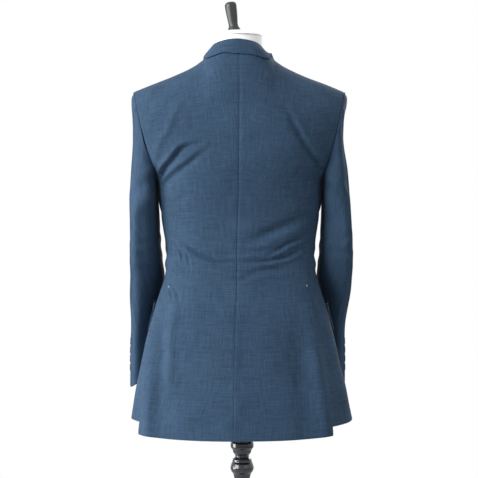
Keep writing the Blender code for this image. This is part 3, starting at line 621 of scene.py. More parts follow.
# Points are (x, z) in mm, and the wearer's left is +x
backCreases = creaseRows(
    backPanel,
    ("armpitLeft", -1, 5.4, -0.6, (204, 1188), (184, 1214), (168, 1237), (155, 1256), (139, 1273),
        (120, 1295), (101, 1302), (76, 1307)),
    ("armpitLeft", -0.6, 5.8, -0.6, (204, 1196), (178, 1214), (157, 1227), (139, 1241), (117, 1257),
        (96, 1272), (83, 1283), (56, 1299)),
    ("armpitLeft", 0.38, 7.5, 0, (186, 1250), (173, 1282), (163, 1312), (146, 1337), (137, 1361),
        (125, 1384), (113, 1404)),
    ("soft", -1.2, 10, 0.3, (146, 1176), (127, 1192), (105, 1212)),
    ("armpitRight", -1, 6, -0.4, (-92, 1384), (-116, 1340), (-134, 1307), (-151, 1282), (-169, 1256),
        (-187, 1220)),
    ("soft", -1.6, 8, 0, (-120, 1272), (-144, 1252), (-165, 1231)),
    ("waist", -1, 10.5, 0.4, (-10, 1103), (-40, 1113), (-65, 1124), (-103, 1141), (-142, 1159)),
    ("waist", -0.8, 4.2, 0.7, (-50, 1075), (-82, 1089), (-98, 1099), (-115, 1106), (-142, 1113)),
    ("waist", -0.4, 4, 0.5, (8, 1080), (-20, 1083), (-45, 1085), (-70, 1087)),
    ("waist", -0.85, 4.4, 0.6, (10, 1061), (-20, 1062), (-46, 1063), (-71, 1067), (-92, 1071), (-115, 1082),
        (-142, 1099)),
    ("waist", -0.65, 6.2, 0.4, (4, 1024), (-19, 1036), (-38, 1042), (-75, 1046), (-114, 1048)),
    ("waist", -0.8, 4.2, 0.6, (140, 1114), (118, 1099), (104, 1089), (90, 1080), (67, 1069), (42, 1061),
        (4, 1063)),
    ("waist", -0.4, 4, 0.4, (56, 1076), (30, 1077), (4, 1078)),
    ("waist", -0.35, 3, 0.7, (140, 1104), (125, 1083), (119, 1058)),
    ("waist", -0.3, 3, -0.7, (125, 1100), (110, 1075), (104, 1045)),
    ("waist", -0.38, 2.8, 0.7, (141, 1066), (121, 1050), (96, 1046)),
    ("waist", -0.38, 2.8, 0.7, (146, 1056), (131, 1038), (109, 1040), (86, 1038)),
    ("waist", -0.3, 2.6, 0.8, (153, 1012), (146, 997), (141, 980)),
    ("waist", -0.3, 2.8, 0.8, (145, 1016), (135, 1001), (128, 980)),
    ("flute", 0.55, 13, 0, (168, 1000), (178, 935), (184, 850), (188, 770), (191, 660)),
    ("flute", 1, 16.5, 0, (182, 890), (186, 800), (191, 730), (195, 600)),
    ("flute", -0.4, 13, 0, (158, 1000), (163, 930), (162, 870), (160, 790)),
    ("flute", 0.55, 11, 0, (132, 1010), (142, 930), (147, 850), (151, 770)),
    ("flute", 1.25, 16, 0, (-138, 960), (-147, 900), (-156, 836), (-166, 760), (-176, 640)),
    ("flute", -0.45, 17, 0, (-112, 930), (-119, 850), (-125, 760), (-130, 640)),
    ("flute", -0.35, 14, 0, (-196, 880), (-204, 800), (-212, 700)),
)


def backRelief(x, z, share=1):
    relief = creased(x, z, backCreases) + unevenness(x, z, "back")
    fromSeam = x - centreSeamRows.read("x", z)
    fade = np.where(fromSeam < 0, backPanel["ridgeFade"]["right"], backPanel["ridgeFade"]["left"])
    ridge = backPanel["ridge"] * np.exp(-np.abs(fromSeam) / fade)
    low = ease((backPanel["ridgeLevel"] - z) / backPanel["ridgeRise"])
    return np.clip(relief, *backPanel["mostRelief"]) * share + ridge * low


def makeBack(name):
    sign = sides[name]
    hem = coat["backHem"]

    def place(u, v):
        height = mix(hem, ridgeTop, v) + coat["backHemRise"] * u * u * np.maximum(1 - v * 15.6, 0)
        edge = backEdge(height, name)
        # The seam's gap shows between its low and top levels, and outside them the halves touch
        seamOpen = ease((height - backPanel["seamLow"]) / 0.05) * ease((backPanel["seamTop"] - height) / 0.04)
        start = centreSeamRows.read("x", np.minimum(height, coat["widest"])) * sign
        start = start + mix(backPanel["closedGap"], backPanel["seamGap"], seamOpen)
        x = across(start, edge, widthAt(height, edge), u)
        vent = ease((coat["tackLevel"] + 0.04 - height) / 0.04) * ease((u - 0.3) / 0.5)
        return raised(x, neckHeight(x, height, necklineRows), back, coat["gap"] * vent) * (sign, 1, 1)

    def relief(u, v, points):
        height = mix(hem, ridgeTop, v)
        width = np.abs(backEdge(height, name))
        fromCentre, fromEdge = u * width, (1 - u) * width
        low = ease((coat["tackLevel"] - height) / 0.02)
        share = ease((ridgeTop - height) / 0.02) * (1 - 0.7 * bell(fromCentre, 0.004))
        share = share * (1 - 0.8 * bell(fromEdge, 0.005) * (1 - low))
        lift = backRelief(points[:, 0], points[:, 2], share)
        lift = lift + seamDip(fromCentre, "centre") * ease((backPanel["seamTop"] - 0.01 - height) / 0.05)
        lift = lift + seamDip(fromEdge, "armhole") * ease((height - coat["sideTop"]) / 0.02)
        lift = lift + seamDip(fromEdge, "vent") * (1 - low)
        return lift - backPanel["hemRoll"] * bell(height - hem, 0.004)

    makeSheet(f"coatBack_{name}", f"jacket_back_{name}", backPanel["grid"], place, relief, sign > 0, 0.0003)


# Side bodies, tucked under the backs below the vents' tacks

sidePanel = {
    "grid": (34, 150), "width": 0.12, "underlap": 0.034, "step": 0.0029, "flute": 0.0045, "soft": 0.001,
    "bend": 1.19, "seam": 0.00008,
}
# Points are hundredths of the width from the back seam, and z in mm
sideCreases = creaseRows(
    sidePanel,
    ("flute", 1, 18, 0, (35, 1000), (42, 900), (46, 720)),
    ("flute", -0.7, 19.2, 0, (62, 960), (66, 860), (70, 720)),
    ("soft", -2, 9.6, 0.5, (10, 1100), (45, 1075), (90, 1085)),
    ("soft", -1.6, 8.4, 0.5, (5, 1070), (40, 1045), (80, 1050)),
    ("soft", -2.2, 10.8, 0.4, (15, 1210), (40, 1170), (75, 1150)),
    units=(sidePanel["width"] / 100, 0.001),
)


def makeSide(name):
    sign = sides[name]
    hem, top = coat["sideHem"][name], coat["sideTop"]

    def zAt(u, v):
        z = mix(coat["frontHem"], top, v)
        bend = sidePanel["bend"]
        reach = coat["underarm"] + (2 * u - 1) ** 2 * (top - coat["underarm"])
        z = np.where(z > bend, bend + (z - bend) * (reach - bend) / (top - bend), z)
        return z - (coat["frontHem"] - hem) * (1 - u) * np.maximum(1 - v * 12, 0)

    def place(u, v):
        z = zAt(u, v)
        halfWidth = bodyRows.read("halfWidth", z)
        under = sidePanel["underlap"] * ease((coat["tackLevel"] - z) / 0.05)
        high = np.where(z < top, backEdge(z, name) + sidePanel["seam"], backArmholeRows.rows[0][1])
        startX = np.where(z < coat["tackLevel"], ventEdgeRows.read(name, z) - under, high)
        start = sectionTurn(startX, halfWidth)
        end = math.pi - sectionTurn(frontOuter(np.minimum(z, top - coat["gap"])) + coat["gap"], halfWidth)
        tucked = ease((coat["tackLevel"] + 0.06 - z) / 0.05) * (1 - ease((u - 0.55) / 0.35))
        return roundRaised(mix(start, end, u), z, -sidePanel["step"] * tucked) * (sign, 1, 1)

    def relief(u, v, points):
        z = zAt(u, v)
        around = u * sidePanel["width"]
        vented = ease((coat["tackLevel"] + 0.02 - z) / 0.05) * ease(points[:, 1] / 0.05)
        lift = backRelief(points[:, 0], z) * vented
        lift = lift + creased(around, z, sideCreases) + unevenness(around, z, "side", sign)
        seams = seamDip((1 - u) * sidePanel["width"], "side")
        seams = seams + seamDip(around, "vent") * (1 - ease((coat["tackLevel"] - z) / 0.02))
        return lift * ease(u / 0.12) * ease((1 - u) / 0.10) * ease((1.0 - v) / 0.04) + seams

    makeSheet(f"coatSide_{name}", f"jacket_side_{name}", sidePanel["grid"], place, relief, sign > 0, 0.0003)


# Coat fronts, cut away below the lower button

frontPanel = {
    "grid": (64, 190), "waist": 0.0026, "chest": 0.0022, "skirt": 0.0045, "pocketLine": 0.9725,
    "jet": 0.0012,
}
frontCreases = creaseRows(
    frontPanel,
    ("waist", -1, 8, 0.5, (24, 1100), (50, 1112), (90, 1135), (125, 1165)),
    ("waist", -0.9, 6.5, 0.5, (24, 1088), (60, 1082), (100, 1088), (140, 1105)),
    ("waist", -0.7, 6.5, 0.5, (26, 1072), (60, 1058), (95, 1052), (135, 1062)),
    ("waist", -0.5, 8, 0.5, (30, 1045), (70, 1025), (110, 1018)),
    ("chest", -1, 11, 0.5, (160, 1262), (140, 1300), (128, 1345), (124, 1385)),
    ("chest", -0.9, 10, 0.5, (165, 1225), (138, 1235), (108, 1262)),
    ("skirt", 0.6, 22, 0, (110, 960), (122, 870), (130, 735)),
    ("skirt", -0.6, 18, 0, (155, 960), (170, 870), (182, 735)),
    ("skirt", -0.4, 22, 0, (60, 930), (72, 850), (90, 740)),
)


def frontAcross(start, edge, halfWidth, u):
    # The first share spans the overlap of the fronts, and the rest follows the section
    first = 1 / 9
    band = np.maximum(coat["overlapEdge"], start + 0.012)
    rest = across(band, edge, halfWidth, np.clip((u - first) / (1 - first), 0, 1))
    return np.where(u <= first, mix(start, band, u / first), rest)


def makeFront(name):
    sign = sides[name]

    def place(u, v):
        height = mix(coat["frontHem"], ridgeTop, v)
        edge = frontOuter(height)
        start = frontEdgeRows.read("x", levelOf(coat["neckX"], height))
        x = frontAcross(start, edge, widthAt(height, edge), u)
        return raised(x, height, front, leftFrontLift(x, height) if name == "left" else 0) * (sign, 1, 1)

    def relief(u, v, points):
        height = mix(coat["frontHem"], ridgeTop, v)
        x, z = points[:, 0] * sign, points[:, 2]
        lift = creased(x, z, frontCreases) + unevenness(points[:, 0], z, "front")
        lift = lift * ease(u / 0.10) * ease((1 - u) / 0.05) * ease((ridgeTop - height) / 0.03)
        # The pocket's jet slopes down to the side
        fromJet = z - frontPanel["pocketLine"] + 0.09 * (x - 0.17)
        jet = bell(fromJet, 0.0028) * ease((x - 0.085) / 0.01)
        lift = lift + frontPanel["jet"] * jet * ease((0.190 - x) / 0.01) * ease((1 - u) / 0.04)
        return lift + seamDip((1 - u) * 0.19, "side") + seamDip(u * 0.18, "frontEdge")

    makeSheet(f"coatFront_{name}", f"jacket_front_{name}", frontPanel["grid"], place, relief, sign < 0)


# Lapels, rolled over from the front edge and lying on the chest

lapel = {
    "grid": (34, 90), "start": {"left": 1.125, "right": 1.175}, "gorgeInner": 1.4350, "gorgeOuter": 1.3780,
    "bow": 0.0016, "roll": 0.0015, "tip": 0.0012, "belly": 0.0010, "pressed": 0.0005,
}
lapelOuterRows = SizeTable("z x", (1120, -15), (1160, 8), (1220, 42), (1280, 76), (1330, 100), (1378, 118))


def makeLapel(name):
    sign = sides[name]
    bottom = lapel["start"][name]

    def place(u, v):
        innerZ, outerZ = mix(bottom, lapel["gorgeInner"], v), mix(bottom, lapel["gorgeOuter"], v)
        innerX = frontEdgeRows.read("x", innerZ)
        if name == "right":
            innerX = np.maximum(innerX, -innerX + 4 * coat["gap"])
        outerX = np.maximum(lapelOuterRows.read("x", outerZ), innerX + 0.004)
        x, z = mix(innerX, outerX, u), mix(innerZ, outerZ, u)
        height = heightOf(x, z)
        under = leftFrontLift(x, height) if name == "left" else 0
        rollUp = lapel["bow"] * np.sin(math.pi * u) + lapel["roll"] * ease(u * 2) * ease(v * 4)
        tipIn = lapel["tip"] * bell(u, 0.06)
        lift = under + 2 * coat["gap"] + coat["wall"] + rollUp - tipIn
        return raised(x, height, front, lift) * (sign, 1, 1)

    def relief(u, v, points):
        belly = lapel["belly"] * np.sin(math.pi * np.clip((u - 0.1) / 0.6, 0, 1)) * ease(v / 0.2)
        pressed = -lapel["pressed"] * bell((1 - u) * 0.06 - 0.004, 0.0012)
        return belly + pressed + unevenness(points[:, 0], points[:, 2], "lapel")

    makeSheet(f"lapel_{name}", f"jacket_lapel_{name}", lapel["grid"], place, relief, sign < 0, 0.0008)


# Collar: stand inside, fold over, fall outside

collar = {"grid": (150, 36), "stations": 5, "shift": 0.0055, "foldDepth": 0.0032, "foldDrop": 0.0025}
collarRows = SizeTable(
    "station seamX seamY seamZ foldX foldY foldZ edgeX edgeReach skew swell",
    (-1, -0.0440, 0.0470, 1.5054, -0.0385, 0.0470, 1.5237, -0.0500, 0.423, -0.03, 0.0020),
    (0, 0.0000, 0.0665, 1.5081, 0.0000, 0.0625, 1.5285, 0.0000, 0.492, 0.0, 0.0020),
    (1, 0.0440, 0.0470, 1.5054, 0.0385, 0.0470, 1.5237, 0.0500, 0.423, 0.03, 0.0020),
    (2, 0.0640, 0.0190, 1.4994, 0.0566, 0.0190, 1.5125, 0.0682, 0.235, 0.06, 0.0010),
    (3, 0.0688, -0.0070, 1.4915, 0.0612, -0.0080, 1.5015, 0.0722, -0.060, 0.03, 0.0004),
    (4, 0.0655, -0.0640, 1.4700, 0.0635, -0.0640, 1.4830, 0.1000, -0.360, 0.0, 0.0020),
    (5, 0.0550, -0.0960, 1.4410, 0.0560, -0.1005, 1.4500, 0.1080, -0.600, 0.0, 0.0015),
    scale=1,
)


def collarEdge(station, sign):
    reach = collarRows.read("edgeReach", station) - collarRows.read("skew", station) * sign
    x = collarRows.read("edgeX", station) * sign + collar["shift"] * (1 - station / collar["stations"])
    height = ridgeTop - np.abs(reach) * coat["capRise"]
    lift = coat["wall"] + 4 * coat["gap"]
    behind, ahead = raised(x, height, back, lift), raised(x, height, front, lift)
    return np.where((reach >= 0)[:, None], behind, ahead)


def makeCollar():
    def place(u, v):
        station = np.abs(2 * u - 1) * collar["stations"]
        sign = np.where(u < 0.5, 1, -1)
        seam = np.stack([collarRows.read(f"seam{axis}", station) for axis in "XYZ"], axis=1)
        crest = np.stack([collarRows.read(f"fold{axis}", station) for axis in "XYZ"], axis=1)
        seam[:, 0] *= sign
        crest[:, 0] = crest[:, 0] * sign + collar["shift"] * (1 - station / collar["stations"])
        edge = collarEdge(station, sign)
        away = unit((edge - crest) * (1, 1, 0))
        depth = np.minimum(collar["foldDepth"], np.linalg.norm(crest - seam, axis=1) * 0.4)[:, None]
        below = np.array((0, 0, -collar["foldDrop"]))
        foldIn, foldOut = crest - away * depth + below, crest + away * depth + below
        swell = (away + (0, 0, 1)) * collarRows.read("swell", station)[:, None]
        spine = [seam, mix(seam, foldIn, 0.6), foldIn, crest, foldOut, mix(foldOut, edge, 0.5) + swell, edge]
        # A smooth curve through the seven points of the spine
        step = np.minimum((v * 6).astype(int), 5)
        t = (v * 6 - step)[:, None]
        spine = np.stack(spine, axis=0)
        rows = np.arange(len(v))
        before, low = spine[np.maximum(step - 1, 0), rows], spine[step, rows]
        high, after = spine[step + 1, rows], spine[np.minimum(step + 2, 6), rows]
        startPull, endPull = (high - before) / 2, (after - low) / 2
        rise = (3 - 2 * t) * t * t
        return low * (1 - rise) + high * rise + startPull * t * (1 - t) ** 2 + endPull * t * t * (t - 1)

    def relief(u, v, points):
        return unevenness(points[:, 0], points[:, 1] + points[:, 2], "collar") * ease((v - 0.5) / 0.2)

    makeSheet("collar", "jacket_collar", collar["grid"], place, relief, True, 0.0007)


# Sleeves: an upper and an under piece each, curved forward to the cuff

sleeve = {
    "grid": (44, 190),
    "girth": 0.055,
    "width": 0.13,
    "underarmRadius": 0.04,
    "creaseShift": 0.008,
    "head": (0.0014, 0.0024),
    "headFades": (0.030, 0.024),
    "crowding": 1.15,
    "cuffLevel": 0.812,
    "cuffTilt": 0.028,
    "cuffTurn": math.radians(45),
    "hindSeam": math.radians(56),
    "hindSkew": 0.40,
    "power": 2.8,
    "hindTurn": {"left": 0.70, "right": 0.50},
    "offset": 0.0007,
    "elbow": 0.0016,
    "soft": 0.001,
    "armpit": 0.0022,
    "buttonTurn": math.radians(27),
    "buttonLevels": (0.826, 0.846, 0.866, 0.886),
}
sleeveRows = {
    "left": SizeTable(
        "z outer inner middle halfDepth",
        (770, 247, 193, -160, 63), (854, 244, 190, -135, 65), (925, 239.5, 185, -104, 68),
        (995, 238, 172, -70, 71), (1030, 236, 167, -55, 72.5), (1065, 234.8, 171, -40, 74),
        (1134, 231.5, 175.5, -25, 77), (1200, 232.5, 176.8, -16, 76), (1253, 229, 181.2, -12, 73),
        (1320, 224, 185, -10, 67), (1370, 226.2, 190, -9, 61), (1410, 229, 195, -8, 51),
    ),
    "right": SizeTable(
        "z outer inner middle halfDepth",
        (770, 230, 179, -168, 63), (854, 229, 179, -145, 65), (925, 227.2, 179.5, -116, 68),
        (995, 237, 172.5, -76, 71), (1030, 238.5, 168, -58.5, 72.5), (1065, 239, 170.5, -41, 74),
        (1134, 235, 175.5, -25, 77), (1200, 231, 177.2, -16, 76), (1253, 226.2, 181.2, -8, 77),
        (1320, 216.2, 185, -4, 73), (1370, 221.2, 190, -2, 68), (1410, 231.5, 195, -2, 57),
    ),
}


def armholePoint(turn):
    # The armhole seam by turn: 0 at the shoulder, a quarter behind, half at the underarm
    crest, underarm, sideTop = shoulderRows.rows[-1][1], coat["underarm"], coat["sideTop"]
    z = (crest + underarm) / 2 + (crest - underarm) / 2 * np.cos(turn)
    behind = np.sin(turn) >= 0
    x = np.where(behind, backArmholeRows.read("x", z), frontArmholeRows.read("x", z))
    height = heightOf(x, z)
    upper = np.where(behind[:, None], torsoPoint(x, height, back), torsoPoint(x, height, front))
    share = np.sqrt(np.maximum(z - underarm, 0) / (sideTop - underarm))
    halfWidth = bodyRows.read("halfWidth", sideTop)
    endBack = sectionTurn(backArmholeRows.rows[0][1], halfWidth)
    endFront = math.pi - sectionTurn(frontArmholeRows.rows[0][1], halfWidth)
    angle = mix(math.pi / 2, np.where(behind, endBack, endFront), share)
    points = np.where((z >= sideTop)[:, None], upper, roundPoint(angle, z))
    return points + (sleeve["offset"], 0, 0)


def cuffAt(turn):
    return sleeve["cuffLevel"] - sleeve["cuffTilt"] * np.sin(turn + sleeve["cuffTurn"])


def sleevePoint(name, turn, share):
    table = sleeveRows[name]
    start = armholePoint(turn)
    z = mix(start[:, 2], cuffAt(turn), share)
    outer, inner = table.read("outer", z), table.read("inner", z)
    skewed = turn - sleeve["hindSkew"] * np.maximum(np.sin(turn), 0)
    squared = 2 / mix(2, sleeve["power"], ease((z - 1.0) / 0.10))
    x = mix(inner, outer, (1 + signedPower(np.cos(skewed), squared)) / 2)
    upperArm = ease((z - 1.14) / 0.09)
    turned = turn - sleeve["hindTurn"][name] * upperArm * np.maximum(np.sin(turn), 0)
    y = table.read("middle", z) + table.read("halfDepth", z) * signedPower(np.sin(turned), squared)
    merge = ease((start[:, 2] - z) / mix(0.10, 0.035, np.abs(np.cos(turn))))
    return mix(start, stacked(x, y, z), merge[:, None])


# Points are turns in degrees, 0 outwards and 90 behind, and z in mm
sleeveCreases = creaseRows(
    sleeve,
    ("elbow", -1, 8, 0.6, (20, 1140), (60, 1118), (100, 1105), (130, 1110)),
    ("elbow", -0.8, 7.5, 0.6, (10, 1105), (50, 1085), (95, 1078), (135, 1088)),
    ("elbow", -0.6, 7.5, 0.5, (25, 1060), (70, 1048), (110, 1052)),
    ("elbow", -0.8, 8.5, 0.5, (150, 1125), (190, 1105), (240, 1112)),
    ("elbow", -0.7, 8.5, 0.5, (155, 1085), (200, 1068), (250, 1080)),
    ("elbow", -0.6, 8.5, 0.5, (260, 1110), (300, 1085), (340, 1080)),
    ("armpit", -1.5, 11, 0.5, (165, 1262), (130, 1243), (95, 1222), (62, 1196), (40, 1180)),
    ("armpit", -0.7, 12, 0.4, (150, 1200), (115, 1180), (80, 1150)),
    ("armpit", -1, 10, 0.4, (300, 1330), (285, 1270), (250, 1220)),
    ("soft", -1.6, 11, 0.4, (35, 1010), (60, 960), (70, 900)),
    ("soft", -1.6, 11, 0.4, (300, 1000), (310, 940), (330, 900)),
    units=(math.radians(1) * sleeve["girth"], 0.001),
)


def makeSleeve(name, part, start, end):
    sign = sides[name]
    gapTurn = coat["gap"] / 2 / sleeve["underarmRadius"]

    def turnAt(u):
        return mix(start + gapTurn, end - gapTurn, u)

    def place(u, v):
        return sleevePoint(name, turnAt(u), v ** sleeve["crowding"]) * (sign, 1, 1)

    def relief(u, v, points):
        turn = np.mod(turnAt(u), 2 * math.pi)
        around = turn * sleeve["girth"]
        fromSeam = np.minimum(u, 1 - u) * sleeve["width"]
        lift = creased(around, points[:, 2] - sleeve["creaseShift"] * sign, sleeveCreases)
        lift = lift + unevenness(around, points[:, 2], "sleeve", sign)
        lift = lift * ease(v / 0.05) * ease((1 - v) / 0.05)
        lift = lift * (1 - 0.8 * bell(fromSeam, 0.005))
        least, more = sleeve["head"]
        fadeStart, fadeLength = sleeve["headFades"]
        head = (least + more * ease(v / 0.012)) * ease(np.cos(turn) + 0.3)
        head = head * (1 - ease((v - fadeStart) / fadeLength))
        seams = seamDip(fromSeam, "sleeve") * ease(v / 0.08) + seamDip(v * 0.6, "armhole")
        return lift + head + seams

    label = f"sleeve_{part}_{name}"
    makeSheet(label, f"jacket_{label}", sleeve["grid"], place, relief, sign < 0)


# Flaps over the hip pockets, each with a pale lining and a narrow jet above it

flap = {
    "angles": (math.radians(95), math.radians(146)),
    "width": 0.13,
    "clear": 0.0021,
    "levels": (0.972, 0.915),
    "drop": 0.006,
    "wall": 0.0013,
    "liningWall": 0.0006,
    "liningInset": 0.010,
    "jetWall": 0.0010,
    "standing": 0.0035,
    "cornerRadius": 0.012,
    "bow": 0.0008,
    "liningGap": 0.00005,
    "jetLift": 0.0012,
}


def flapSheet(name, label, node, shares, lift, wall, grid, edge, rear=0.0, material=None):
    # The shares say where between the flap's lower edge and its top the sheet starts and ends
    sign = sides[name]

    def place(u, v):
        u = mix(rear, 1, u)
        top, bottom = (level - flap["drop"] * u for level in flap["levels"])
        v = mix(*shares, v)
        if shares[0] == 0:
            corner = 1 - ease((1 - u) / (flap["cornerRadius"] / flap["width"]))
            bottom = bottom + corner * flap["cornerRadius"] * 0.6
        standing = flap["standing"] * (1 - u) ** 3 * v ** 4 + 0.0004 * (1 - v)
        return roundRaised(mix(*flap["angles"], u), mix(bottom, top, v), lift + standing) * (sign, 1, 1)

    def relief(u, v, points):
        bow = flap["bow"] * np.sin(math.pi * u) * np.sin(math.pi * v)
        return bow + unevenness(u * flap["width"], points[:, 2], "flap", sign)

    makeSheet(f"{label}_{name}", node, grid, place, relief, sign > 0, edge, wall, material)


def makeFlap(name):
    clear, wall, thin = flap["clear"], flap["wall"], flap["liningWall"]
    flapSheet(name, "flap", f"jacket_flap_{name}", (0, 1), clear, wall, (60, 30), 0.0005)
    below = clear - wall - flap["liningGap"]
    flapSheet(name, "flapLining", None, (0.012, 1), below, thin, (40, 16), 0.0001, flap["liningInset"], lining)
    flapSheet(name, "pocketJet", None, (1.0, 1.09), flap["jetLift"], flap["jetWall"], (60, 6), 0.0003)


# Buttons: one is modelled, and the others are copies of it

buttons = {
    "jacketRadius": 0.0100,
    "sleeveRadius": 0.0075,
    "waistcoatRadius": 0.0075,
    "thickness": 0.36,
    "holeSpread": 0.20,
    "holeRadius": 0.085,
    "frontCurve": 0.3,
    "jacketLevels": (1.095, 0.985),
    "waistcoatLevels": (1.005, 1.05, 1.095, 1.14, 1.185),
}


def rounded(profile, most):
    # Each corner of the profile becomes a short arc, and the ends stay
    rows = [np.array(profile[0], float)]
    for before, corner, after in zip(profile, profile[1:], profile[2:]):
        corner = np.array(corner, float)
        toBefore, toAfter = np.array(before) - corner, np.array(after) - corner
        start = corner + toBefore * min(0.45, most / np.linalg.norm(toBefore))
        end = corner + toAfter * min(0.45, most / np.linalg.norm(toAfter))
        for t in (0, 0.25, 0.5, 0.75, 1):
            rows.append(start * (1 - t) ** 2 + corner * 2 * t * (1 - t) + end * t * t)
    return rows + [np.array(profile[-1], float)]


def turnedPiece(name, profile, count, most=0.0015):
    # A disc is extruded down its profile of (radius, z) rows, and its ends stay closed
    rows = rounded(profile, most)
    deselectAll()
    bpy.ops.mesh.primitive_circle_add(vertices=count, radius=rows[0][0], fill_type="NGON", location=(0, 0, 0))
    piece = bpy.context.object
    piece.name = name
    inEdit(piece)
    bpy.ops.transform.translate(value=(0, 0, rows[0][1]))
    for above, row in zip(rows, rows[1:]):
        bpy.ops.mesh.extrude_region_move(TRANSFORM_OT_translate={"value": (0, 0, row[1] - above[1])})
        share = row[0] / above[0]
        bpy.ops.transform.resize(value=(share, share, 1), center_override=(0, 0, row[1]))
    bpy.ops.mesh.select_all(action="SELECT")
    bpy.ops.mesh.normals_make_consistent(inside=False)
    bpy.ops.object.mode_set(mode="OBJECT")
    smoothed(piece, 35)
    return piece


def joined(name, pieces):
    deselectAll()
    for piece in pieces:
        piece.select_set(True)
    bpy.context.view_layer.objects.active = pieces[0]
    if len(pieces) > 1:
        bpy.ops.object.join()
    pieces[0].name = name
    return pieces[0]


def shaped(piece, size, place=(0, 0, 0), turn=0):
    # Sized, turned about Z and set down in edit mode, so that the object stays at the origin
    inEdit(piece)
    bpy.ops.transform.resize(value=size, center_override=(0, 0, 0))
    if turn:
        bpy.ops.transform.rotate(value=-turn, orient_axis="Z", center_override=(0, 0, 0))
    bpy.ops.transform.translate(value=place)
    bpy.ops.object.mode_set(mode="OBJECT")
    return piece


def makeUnitButton():
    rim = buttons["thickness"]
    profile = [
        (0.10, rim * 0.66), (0.52, rim * 0.66), (0.64, rim * 0.80), (0.74, rim), (0.90, rim),
        (1.00, rim * 0.66), (1.00, rim * 0.36), (0.88, 0.0), (0.10, 0.0),
    ]
    button = turnedPiece("unitButton", profile, 64, 0.05)
    spread, radius = buttons["holeSpread"], buttons["holeRadius"]
    for x in (-spread, spread):
        for y in (-spread, spread):
            deselectAll()
            bpy.ops.mesh.primitive_cylinder_add(vertices=16, radius=radius, depth=1.2, location=(x, y, 0))
            hole = bpy.context.object
            applied(button, "BOOLEAN", operation="DIFFERENCE", object=hole, solver="EXACT")
            bpy.data.objects.remove(hole)
    smoothed(button, 35)
    bars = []
    for turn in (45, 135):
        deselectAll()
        bpy.ops.mesh.primitive_uv_sphere_add(segments=12, ring_count=8, radius=1, location=(0, 0, 0))
        bar = shaped(bpy.context.object, (0.33, 0.07, 0.06), (0, 0, 0), math.radians(turn))
        bars.append(shaped(bar, (1, 1, 1), (0, 0, rim * 0.70)))
    return button, joined("unitButtonThread", bars)


def placement(place, facing, along, size):
    # The matrix that sets a thing down at a place: its Z faces out and its X runs along
    facing = facing / np.linalg.norm(facing)
    along = along - facing * float(np.dot(along, facing))
    along = along / np.linalg.norm(along)
    side = np.cross(facing, along)
    turned = np.eye(4)
    turned[:3, :3] = np.stack([along, side, facing], axis=1) * size
    turned[:3, 3] = place
    return Matrix(turned.tolist())


def copied(source, name, matrix):
    piece = source.copy()
    piece.data = source.data.copy()
    piece.name = name
    piece.data.transform(matrix)
    bpy.context.scene.collection.objects.link(piece)
    return piece


def frontPlacement(x, z, lift, inset, size):
    x, z = np.array([x]), np.array([z])
    facing = torsoNormal(x, z, front, inset)[0]
    place = leaned(raised(x, z, front, lift, inset))[0]
    return placement(place, facing, np.array((1.0, 0, 0)), size)


def sleevePlacement(name, turn, z, lift, size):
    sign = sides[name]
    turn = np.array([turn])
    start = armholePoint(turn)[0, 2]
    share = (start - z) / (start - cuffAt(turn))
    step = 0.03
    place = sleevePoint(name, turn, share)[0]
    around = (sleevePoint(name, turn + step, share) - sleevePoint(name, turn - step, share))[0]
    down = sleevePoint(name, turn, share + step)[0] - place
    facing = unit(np.cross(down, around))
    if facing[0] < 0:
        facing = -facing
    place = (place + facing * lift) * (sign, 1, 1)
    return placement(leaned(place[None])[0], facing * (sign, 1, 1), around * (sign, 1, 1), size)


def waistcoatLiftAt(z):
    return float(waistcoatLift(np.zeros(1), np.array([z]), front)[0])


def makeButtons():
    unitButton, unitThread = makeUnitButton()
    places = {}
    topLift = coat["wall"] + 3 * coat["gap"]
    radius = buttons["jacketRadius"]
    lift = topLift + radius ** 2 / buttons["frontCurve"]
    for part, z in zip(("upper", "lower"), buttons["jacketLevels"]):
        places[f"jacket_button_{part}"] = frontPlacement(0, z, lift, 0, radius)
    radius = buttons["waistcoatRadius"]
    for number, z in enumerate(buttons["waistcoatLevels"], 1):
        lift = waistcoat["wall"] + 3 * coat["gap"] + radius ** 2 / buttons["frontCurve"] + waistcoatLiftAt(z)
        places[f"waistcoat_button_{number}"] = frontPlacement(0, z, lift, waistcoat["inset"], radius)
    for name in sides:
        for number, z in enumerate(sleeve["buttonLevels"], 1):
            matrix = sleevePlacement(name, sleeve["buttonTurn"], z, coat["gap"], buttons["sleeveRadius"])
            places[f"sleeve_button_{name}_{number}"] = matrix
    threads = []
    for node, matrix in places.items():
        piece = copied(unitButton, f"button_{node}", matrix)
        finished(piece, horn, node)
        threads.append(copied(unitThread, f"thread_{node}", matrix))
    finished(joined("buttonThread", threads), thread)
    bpy.data.objects.remove(unitButton)
    bpy.data.objects.remove(unitThread)


# Buttonholes, worked in twist

holes = {
    "jacketLength": 0.011, "sleeveLength": 0.008, "waistcoatLength": 0.008,
    "lift": 0.0001, "sleeveShift": math.radians(4),
}


